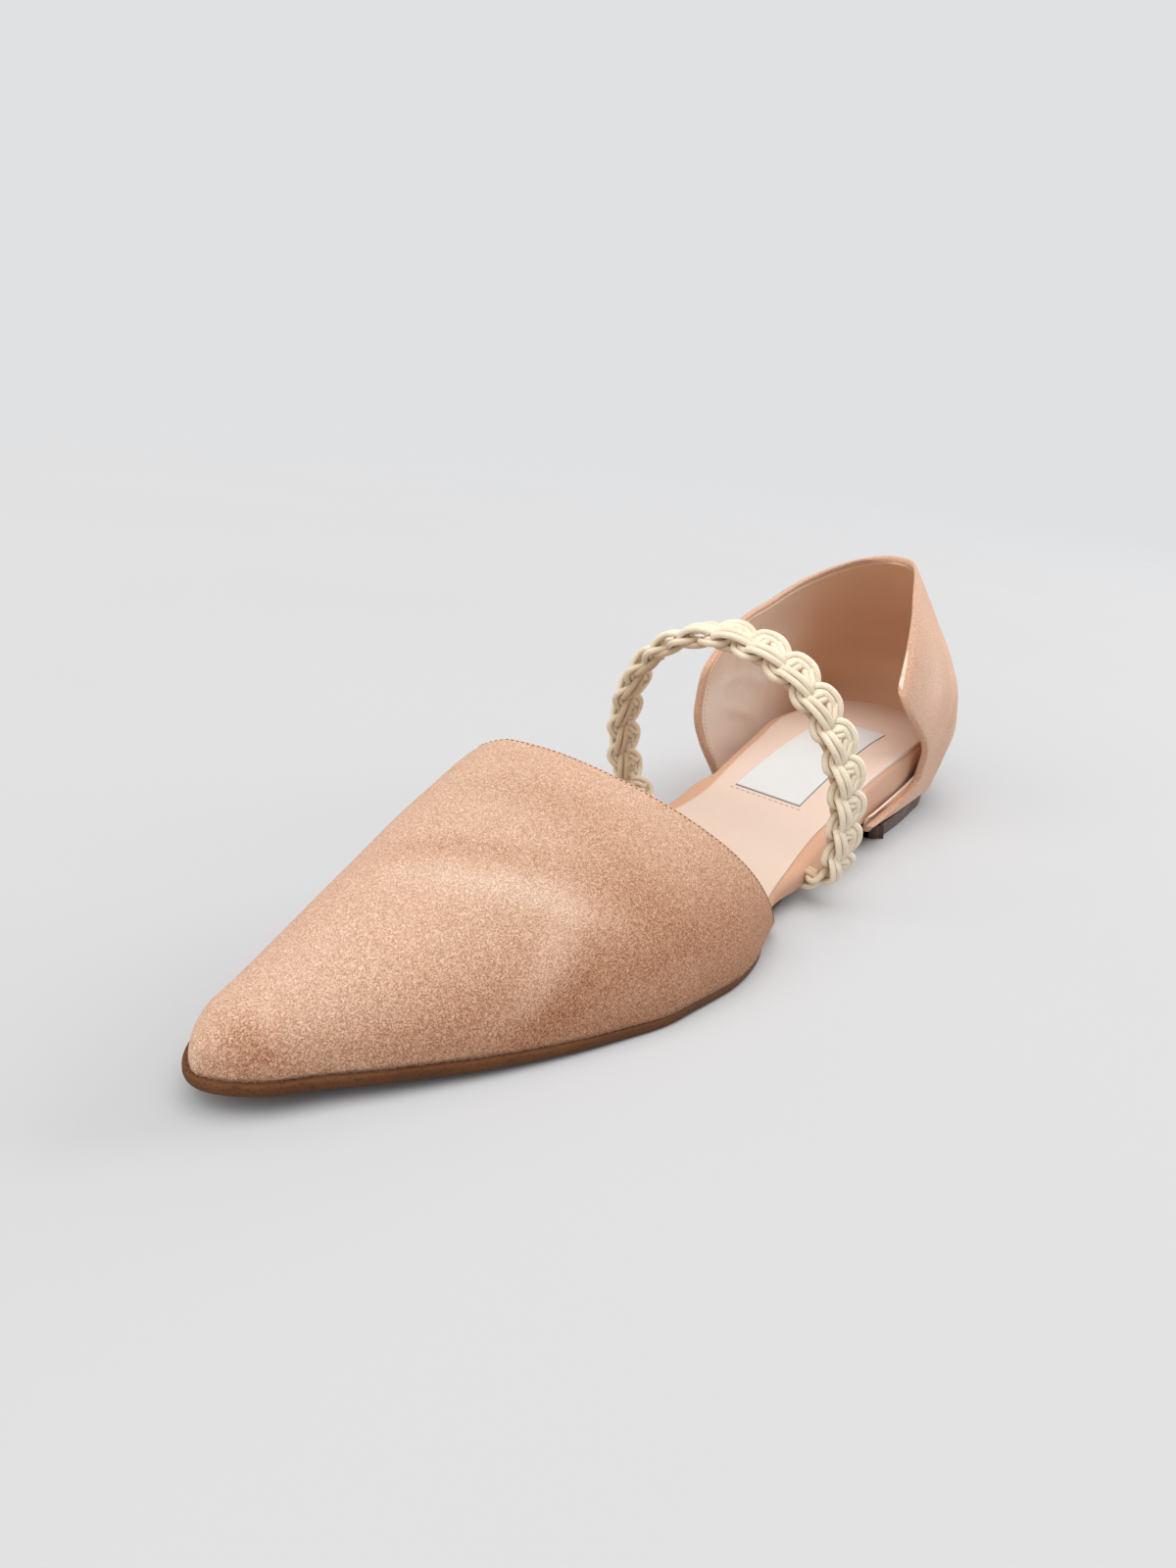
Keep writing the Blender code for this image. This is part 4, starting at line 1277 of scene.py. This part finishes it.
@dataclass
class Footbed:
    """The wrapped platform, the sock, the bare label and its stitches."""

    wall_clearance: float = 2.4 * MM
    band_round: float = 2.4 * MM
    sock_thickness: float = 0.8 * MM
    sock_inset: float = 3.3 * MM
    inner_margin: float = 2.3 * MM
    sock_edge: float = 0.35 * MM
    sock_sink: float = 0.4 * MM
    sock_crown: float = 0.05 * MM
    sock_crown_inset: float = 1.2 * MM
    bed_clearance: float = 0.1 * MM
    label_length: float = 62 * MM
    label_width: float = 19 * MM
    label_thickness: float = 0.35 * MM
    label_lift: float = 0.05 * MM
    # how far the painted shadow sheet reaches past the label, and how far it sinks
    shadow_margin: float = 0.3 * MM
    shadow_sink: float = 0.1 * MM
    stitch_ahead: float = 1.6 * MM
    stitch_overrun: float = 1 * MM
    stitch_pitch: float = 1.6 * MM
    stitch_length: float = 1.0 * MM
    stitch_radius: float = 0.11 * MM
    label_along: float = 0.269
    label_shift: float = -1.7 * MM
    count: int = 220

    # shares of length between which the wrap comes out to the outline and goes back in
    outer_reach: tuple[float, ...] = (0.300, 0.345, 0.462, 0.518)
    inner_reach: tuple[float, ...] = (0.362, 0.405, 0.495, 0.552)
    # likewise, between which the sock's inner margin grows and goes back
    margin_reach: tuple[float, ...] = (0.0, 0.06, 0.40, 0.52)

    def bed_top(self, ys: Array) -> Array:
        """Return the height of the platform's upper face."""
        return LAST.sock_top(ys) - self.sock_thickness

    def bed_bottom(self, ys: Array) -> Array:
        """Return the height of the platform's lower face."""
        return LAST.feather(ys) + self.bed_clearance

    def fillet(self, ys: Array) -> Array:
        """Return the radius of the platform's upper edge, smaller where it is thin."""
        return np.minimum(self.band_round, 0.5 * (self.bed_top(ys) - self.bed_bottom(ys)))

    def inset(self, ys: Array, side: Side) -> Array:
        """Return how far the platform lies inside the outline."""
        a, b, c, d = self.outer_reach if side is Side.OUTER else self.inner_reach
        along = LAST.share(ys)
        return self.wall_clearance * (1 - ease(along, a, b) * (1 - ease(along, c, d)))

    def sock_margin(self, ys: Array, side: Side) -> Array:
        """Return how far the sock lies inside the outline; the inner side shows more."""
        a, b, c, d = self.margin_reach
        along = LAST.share(ys)
        shown = ease(along, a, b) * (1 - ease(along, c, d))
        return self.sock_inset + (self.inner_margin * shown if side is Side.INNER else 0 * ys)

    def bed_level(self, depth: float, drop: float) -> Level:
        """Return a level of the platform that many fillets in and down from its top."""
        return (lambda ys, side: self.inset(ys, side) + depth * self.fillet(ys),
                lambda ys: self.bed_top(ys) - drop * self.fillet(ys))

    def foot_level(self, depth: float, climb: float) -> Level:
        """Return a level of the platform that many fillets in and up from its foot."""
        return (lambda ys, side: self.inset(ys, side) + depth * self.fillet(ys),
                lambda ys: self.bed_bottom(ys) + climb * self.fillet(ys))

    def sock_level(self, inset: float, drop: float) -> Level:
        """Return a level of the sock, that far inside its edge and below its top."""
        return (lambda ys, side: self.sock_margin(ys, side) + inset,
                lambda ys: LAST.sock_top(ys) - drop)

    def build(self) -> list[Piece]:
        """Build and dress the footbed's pieces."""
        ys = LAST.stations(self.count)
        turns = [QUARTER * i / 6 for i in range(7)]
        levels = [self.foot_level(0.45, 0), self.foot_level(0.12, 0.18), self.foot_level(0, 0.5)]
        levels += [self.bed_level(1 - math.cos(turn), 1 - math.sin(turn)) for turn in turns]
        platform = new_piece("footbed_wrap", slab(ys, levels), WRAP, sharp=80)
        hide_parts("platform")
        edge, sunk = self.sock_edge, self.sock_thickness + self.sock_sink
        rim = ((0.0, sunk), (0.0, edge), (0.3 * edge, 0.3 * edge), (edge, 0.0),
               (edge + self.sock_crown_inset, -self.sock_crown))
        sock = new_piece("sock_leather", slab(ys, [self.sock_level(*step) for step in rim]), SOCK,
                         sharp=60)
        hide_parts("sock")
        return [platform, sock, *self.label()]

    def patch(self, grow: float, base: float, top: float) -> BMesh:
        """Return an oblong sheet on the sock, grown past the label by so much.

        Args:
            grow: How much longer and wider than the label it is.
            base: The height of its lower face above the label's seat.
            top: The height of its upper face.

        Returns:
            The sheet's mesh.
        """
        xs = np.linspace(-0.5, 0.5, 9) * (self.label_width + grow) + self.label_shift
        ys = np.linspace(-0.5, 0.5, 33) * (self.label_length + grow) + LAST.at(self.label_along)
        x, y = np.meshgrid(xs, ys, indexing="ij")
        seat = LAST.sock_top(y) + self.label_lift
        return closed_wall(np.stack([x, y, seat + top], axis=-1),
                           np.stack([x, y, seat + base], axis=-1))

    def label(self) -> list[Piece]:
        """Build the bare white patch, a dark sheet round it that paints its shadow line, and the
        stitches before it.
        """
        face = new_piece("label_patch", self.patch(0, 0, self.label_thickness), LABEL)
        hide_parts("label")
        # painted shadow along the label's edges
        shadow_sheet = new_piece("label_shadow_line", self.patch(self.shadow_margin, -self.shadow_sink,
                        self.label_thickness / 2), LABEL_SHADOW)
        front = LAST.at(self.label_along) + self.label_length / 2 + self.stitch_ahead
        xs = np.linspace(-0.5, 0.5, 40) * (self.label_width + self.stitch_overrun) + self.label_shift
        ys = np.full_like(xs, front)
        line = np.stack([xs, ys, LAST.sock_top(ys) + self.label_lift], axis=1)
        rule = stitch_rule(self.stitch_pitch, self.stitch_length, self.stitch_radius, THREAD)
        return [face, shadow_sheet, rule.run("label_stitches", path_mesh([line]), Slot.SOCK)]


@dataclass
class Sole:
    """The outsole and the heel block."""

    flange: float = 0.9 * MM
    waist_inset: float = 2.6 * MM
    heel_inset: float = 0.9 * MM
    heel_taper: float = 0.3 * MM
    heel_corner: float = 3 * MM
    bevel: float = 0.6 * MM
    breast_slant: float = 3 * MM
    block_clearance: float = 0.1 * MM
    block_edge: float = 0.35 * MM
    least_flange: float = 0.2
    # shares of length between which waist and forefoot begin, and the flange grows
    waist_from: tuple[float, float] = (0.20, 0.30)
    fore_from: tuple[float, float] = (0.50, 0.60)
    flange_grows: tuple[float, float] = (0.65, 0.90)
    count: int = 200

    def inset(self, ys: Array) -> Array:
        """Return how far the sole's edge lies inside the outline."""
        along = LAST.share(ys)
        fore = ease(along, *self.fore_from)
        waist = ease(along, *self.waist_from) * (1 - fore)
        grown = self.least_flange + (1 - self.least_flange) * ease(along, *self.flange_grows)
        return (self.heel_inset * (1 - waist - fore) + self.waist_inset * waist
                - self.flange * fore * grown)

    def level(self, face: Height, depth: float, height: float) -> Level:
        """Return a level that many bevels inside the sole's edge and above a face."""
        return (lambda ys, _side: self.inset(ys) + depth * self.bevel,
                lambda ys: face(ys) + height * self.bevel)

    def build(self) -> list[Piece]:
        """Build and dress the sole's pieces."""
        low = ((1.6, 0), (0.8, 0.3), (0.3, 1.0), (0, 2.0))
        high = ((0, -0.7), (0.25, -0.2), (0.7, 0), (1.4, 0))
        levels = [self.level(LAST.sole_bottom, *step) for step in low]
        levels += [self.level(LAST.feather, *step) for step in high]
        outsole = new_piece("outsole_edge", slab(LAST.stations(self.count), levels), SOLE,
                            sharp=60)
        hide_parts("outsole")
        return [outsole, self.heel_block()]

    def heel_block(self) -> Piece:
        """Build the low heel block with its slanted breast."""
        top = LAST.heel_block_height - self.block_clearance
        front = LAST.back + LAST.heel_block_length
        corner = self.heel_corner
        ys = np.array([y for y in LAST.stations(self.count) if y < front - corner]
                      + [front - step for step in reversed(rim_steps(corner, 6))])
        levels = []
        for up, edge in ((0.0, self.block_edge), (0.06, 0), (0.5, 0), (1.0, 0)):
            inset = self.heel_inset + self.heel_taper * (1 - up) + edge
            levels.append((lambda ys, _side, d=inset: d + rim_inset(front - ys, corner),
                           lambda ys, z=up * top: np.full_like(ys, z)))
        bm = slab(ys, levels, flat_front=True)
        for vert in bm.verts:
            reach = (vert.co.y - LAST.back) / LAST.heel_block_length
            vert.co.y -= self.breast_slant * reach * (1 - vert.co.z / top)
        heel = new_piece("heel_block", bm, HEEL, sharp=30)
        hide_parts("heel")
        return heel


@dataclass
class Braid:
    """The strap: doubled elastic cords looped into a band with scalloped edges."""

    span: float = 65 * MM
    top: float = 64 * MM
    widest: float = 27 * MM
    along: float = 0.446
    lean: float = math.radians(16.7)
    tab_wall: float = 1.2 * MM
    tab_reach: float = 4.5 * MM
    turn_length: float = 12 * MM
    gap: float = 0.3 * MM
    cord_radius: float = 0.76 * MM
    inset: float = 1.1 * MM
    facing: Triple = (0.535, 0.716, -0.447)
    back_depth: float = -0.7
    repeats: int = 19
    narrow: float = 0.86
    end_squeeze: float = 0.7
    squeeze_from: float = 5 * MM
    squeeze_to: float = 1 * MM
    surface: float = 0.9 * MM
    steps: int = 18
    sides: int = 10
    # how round each foot of the arch is, as powers of its width and its height
    feet: dict[Side, tuple[float, float]] = field(default_factory=lambda: {
        Side.OUTER: (0.5, 0.35), Side.INNER: (0.8, 0.6)})
    # share of a repeat along, mm towards the toe, mm outwards, how far the pair lies apart
    cuts: dict[str, Table] = field(default_factory=lambda: {
        "link": ((-0.10, 1.2, -1.0, 0.5), (-0.03, 1.5, 0.9, 0.7), (0.14, 1.9, 2.1, 1.0),
                 (0.44, 2.5, 2.9, 1.12), (0.72, 3.0, 2.5, 1.05), (0.92, 3.3, 1.3, 0.8),
                 (0.98, 3.3, -0.8, 0.6)),
        "smile": ((0.62, 1.2, -1.0, 0.7), (0.74, 3.4, -0.4, 1.0), (0.97, 5.0, 0.3, 1.05),
                  (1.22, 4.2, -0.2, 1.0), (1.38, 1.6, -1.0, 0.8)),
        "scallop": ((1.03, 1.8, -0.6, 0.8), (0.97, -0.8, 0.6, 0.95), (0.79, -2.7, 1.2, 1.0),
                    (0.48, -3.3, 0.9, 1.05), (0.20, -2.3, 0.3, 1.0), (0.04, -0.2, -0.1, 0.9),
                    (-0.02, 1.4, -0.8, 0.8)),
        "bar": ((0.78, 2.2, 0.0, 0.85), (0.77, 0.9, 1.1, 0.9), (0.74, -0.5, 1.3, 0.9),
                (0.70, -2.1, 0.2, 0.9)),
        "slant": ((0.50, -2.6, -0.4, 0.9), (0.40, -1.7, 0.8, 0.9), (0.20, -0.3, 0.9, 0.9),
                  (0.02, 1.3, -0.4, 0.9)),
    })

    def path(self, angle: float) -> Triple:
        """Return the strap's centre line at an angle round its arch."""
        reach = self.span / 2 - self.inset
        rest = float(LAST.feather(np.array(LAST.at(self.along)))) + self.gap + self.tab_wall / 2
        if 0 <= angle <= math.pi:
            x = -reach * math.cos(angle)
            z = self.widest + (self.top - self.widest) * math.sin(angle)
        else:
            side, below = (Side.OUTER, -angle) if angle < 0 else (Side.INNER, angle - math.pi)
            wide, high = self.feet[side]
            x = side.value * reach * math.cos(below) ** wide
            z = self.widest - (self.widest - rest) * math.sin(below) ** high
        return x, LAST.at(self.along) + (z - rest) * math.tan(self.lean), z

    def frames(self) -> tuple[Array, Array, Array, Array]:
        """Return the run, the points, the toeward and the outward directions."""
        belows = []
        for side in Side:
            tab = abs(float(LAST.edge(np.array(LAST.at(self.along)), side))) - self.tab_reach
            belows.append(math.acos((tab / (self.span / 2 - self.inset))
                                    ** (1 / self.feet[side][0])))
        angles = np.linspace(-belows[0], math.pi + belows[1], 721)
        points = np.array([self.path(angle) for angle in angles])
        run = np.concatenate(([0], np.cumsum(np.linalg.norm(np.diff(points, axis=0), axis=1))))
        tangent = unit(np.gradient(points, run, axis=0))
        end = np.minimum(run, run[-1] - run)
        free = ease(end, self.tab_reach, self.tab_reach + self.turn_length)[:, None]
        toeward = (1 - free) * np.array([0, 1, 0]) + free * np.array(self.facing)
        toeward -= tangent * np.einsum("ij,ij->i", toeward, tangent)[:, None]
        toeward = unit(toeward)
        return run, points, toeward, np.cross(tangent, toeward)

    def lay(self, band: Sequence[Array], part: str, start: int, aside: float,
            depth: float) -> tuple[Array, Array]:
        """Lay one cord of one cut along the band.

        Args:
            band: What frames() returns.
            part: The cut's name.
            start: The number of the repeat in which it starts.
            aside: How far it lies beside its pair's middle.
            depth: How far out it rises, for each mm of the table.

        Returns:
            The cord's points, and how deep in the band each one is sunk, from 0 to 1, which is where
            the cord's colour paints shade.
        """
        run, *tracks = band
        shape = self.cuts[part]
        table = tuple((k / (len(shape) - 1), *row) for k, row in enumerate(shape))
        share = np.linspace(0, 1, self.steps)
        s = (start + smooth(share, table, 1)) * run[-1] / self.repeats
        w = smooth(share, table, 2) * MM * self.narrow
        n = smooth(share, table, 3) * MM * self.narrow * depth
        way = unit(np.stack([np.gradient(s), np.gradient(w)], axis=1))
        apart = aside * smooth(share, table, 4)
        s, w = s + way[:, 1] * apart, w - way[:, 0] * apart
        s = np.clip(s, 0, run[-1])
        free = ease(np.minimum(s, run[-1] - s), self.squeeze_to, self.squeeze_from)
        squeeze = self.end_squeeze + (1 - self.end_squeeze) * free
        place, side, out = (np.stack([np.interp(s, run, axis) for axis in track.T], axis=1)
                            for track in tracks)
        line = place + side * (w * squeeze)[:, None] + out * (n * squeeze)[:, None]
        return line, 1 - ease(n, -self.surface, self.surface)

    def build(self) -> list[Piece]:
        """Build and dress the braid: each repeat's cuts, and a flatter link at the back."""
        band = self.frames()
        parts = [(part, 1.0) for part in self.cuts] + [("link", self.back_depth)]
        cords = [self.lay(band, part, k, aside, depth) for k in range(self.repeats)
                 for aside in (-self.cord_radius, self.cord_radius) for part, depth in parts]
        lines, sunk = zip(*cords)
        # how deeply each cord is sunk sets the painted shade in its colour
        strap = cord_rule(self.cord_radius, self.sides).run(
            "strap_cords", path_mesh(lines, sunk=sunk), Slot.BRAID)
        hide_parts("strap")
        return [strap]


@dataclass
class Studio:
    """The pale floor, the soft lights and the camera."""

    floor_radius: float = 2.4
    # the camera's place, and the directions right, down and into its picture
    eye: Triple = (-0.0962021, 0.3150298, 0.1072405)
    right: Triple = (-0.80692, -0.57586, 0.1314)
    down: Triple = (-0.30653, 0.2181, -0.92654)
    ahead: Triple = (0.5049, -0.78792, -0.35251)
    lens: float = 22.5
    film: float = 36.0
    backdrop: Colour = (0.75, 0.755, 0.765)
    ambient: float = 0.46
    # each lamp's name, where it shines from, its strength and the angle that it fills
    lamps: tuple[tuple[str, Triple, float, float], ...] = (
        ("top_softlight", (-0.12, 0.05, 1.0), 1.75, math.radians(60)),
        ("front_fill", (0.10, 0.80, 0.80), 1.75, math.radians(60)),
        ("back_softlight", (-0.30, -0.95, 0.30), 1.8, math.radians(40)),
    )

    def build(self) -> None:
        """Build the floor, the lights and the camera."""
        bm = bmesh.new()
        bmesh.ops.create_circle(bm, cap_ends=True, segments=96, radius=self.floor_radius)
        mesh = bpy.data.meshes.new("studio_floor")
        bm.to_mesh(mesh)
        bm.free()
        mesh.materials.append(FLOOR.material())
        add_object("studio_floor", mesh)
        for name, towards, strength, angle in self.lamps:
            lamp = bpy.data.lights.new(name, "SUN")
            lamp.angle, lamp.energy = angle, strength
            aim = (-Vector(towards)).to_track_quat("-Z", "Y")
            add_object(name, lamp).rotation_euler = aim.to_euler()
        self.backdrop_light()
        self.camera()

    def backdrop_light(self) -> None:
        """Make the backdrop an even pale light, dimmer as a light than as it is seen."""
        world = bpy.data.worlds.new("studio_backdrop")
        world.use_nodes = True
        graph = Graph(world.node_tree)
        back = world.node_tree.nodes["Background"].inputs
        seen = graph.add("ShaderNodeLightPath").outputs["Is Camera Ray"]
        graph.feed(back["Color"], self.backdrop)
        graph.feed(back["Strength"], graph.spread(seen, 0, 1, self.ambient, 1))
        bpy.context.scene.world = world
        bpy.context.scene.view_settings.view_transform = "Standard"

    def camera(self) -> None:
        """Place the camera where the photographer stood."""
        data = bpy.data.cameras.new("camera")
        data.sensor_fit = "VERTICAL"
        data.sensor_height = self.film
        data.lens = self.lens
        data.clip_start = 0.01
        camera = add_object("camera", data)
        axes = (Vector(self.right), -Vector(self.down), -Vector(self.ahead))
        turn = Matrix([[axis[k] for axis in axes] for k in range(3)])
        camera.matrix_world = Matrix.Translation(self.eye) @ turn.to_4x4()
        bpy.context.scene.camera = camera


def main() -> None:
    """Build the sub-assemblies in order and report each one."""
    logging.basicConfig(level=logging.INFO, format="%(name)s: %(message)s")
    for part in (Sole(), Footbed(), Vamp(), HeelCup(), Braid()):
        pieces = part.build()
        LOG.info("%s: %d pieces", type(part).__name__, len(pieces))
    Studio().build()


if __name__ == "__main__":
    main()
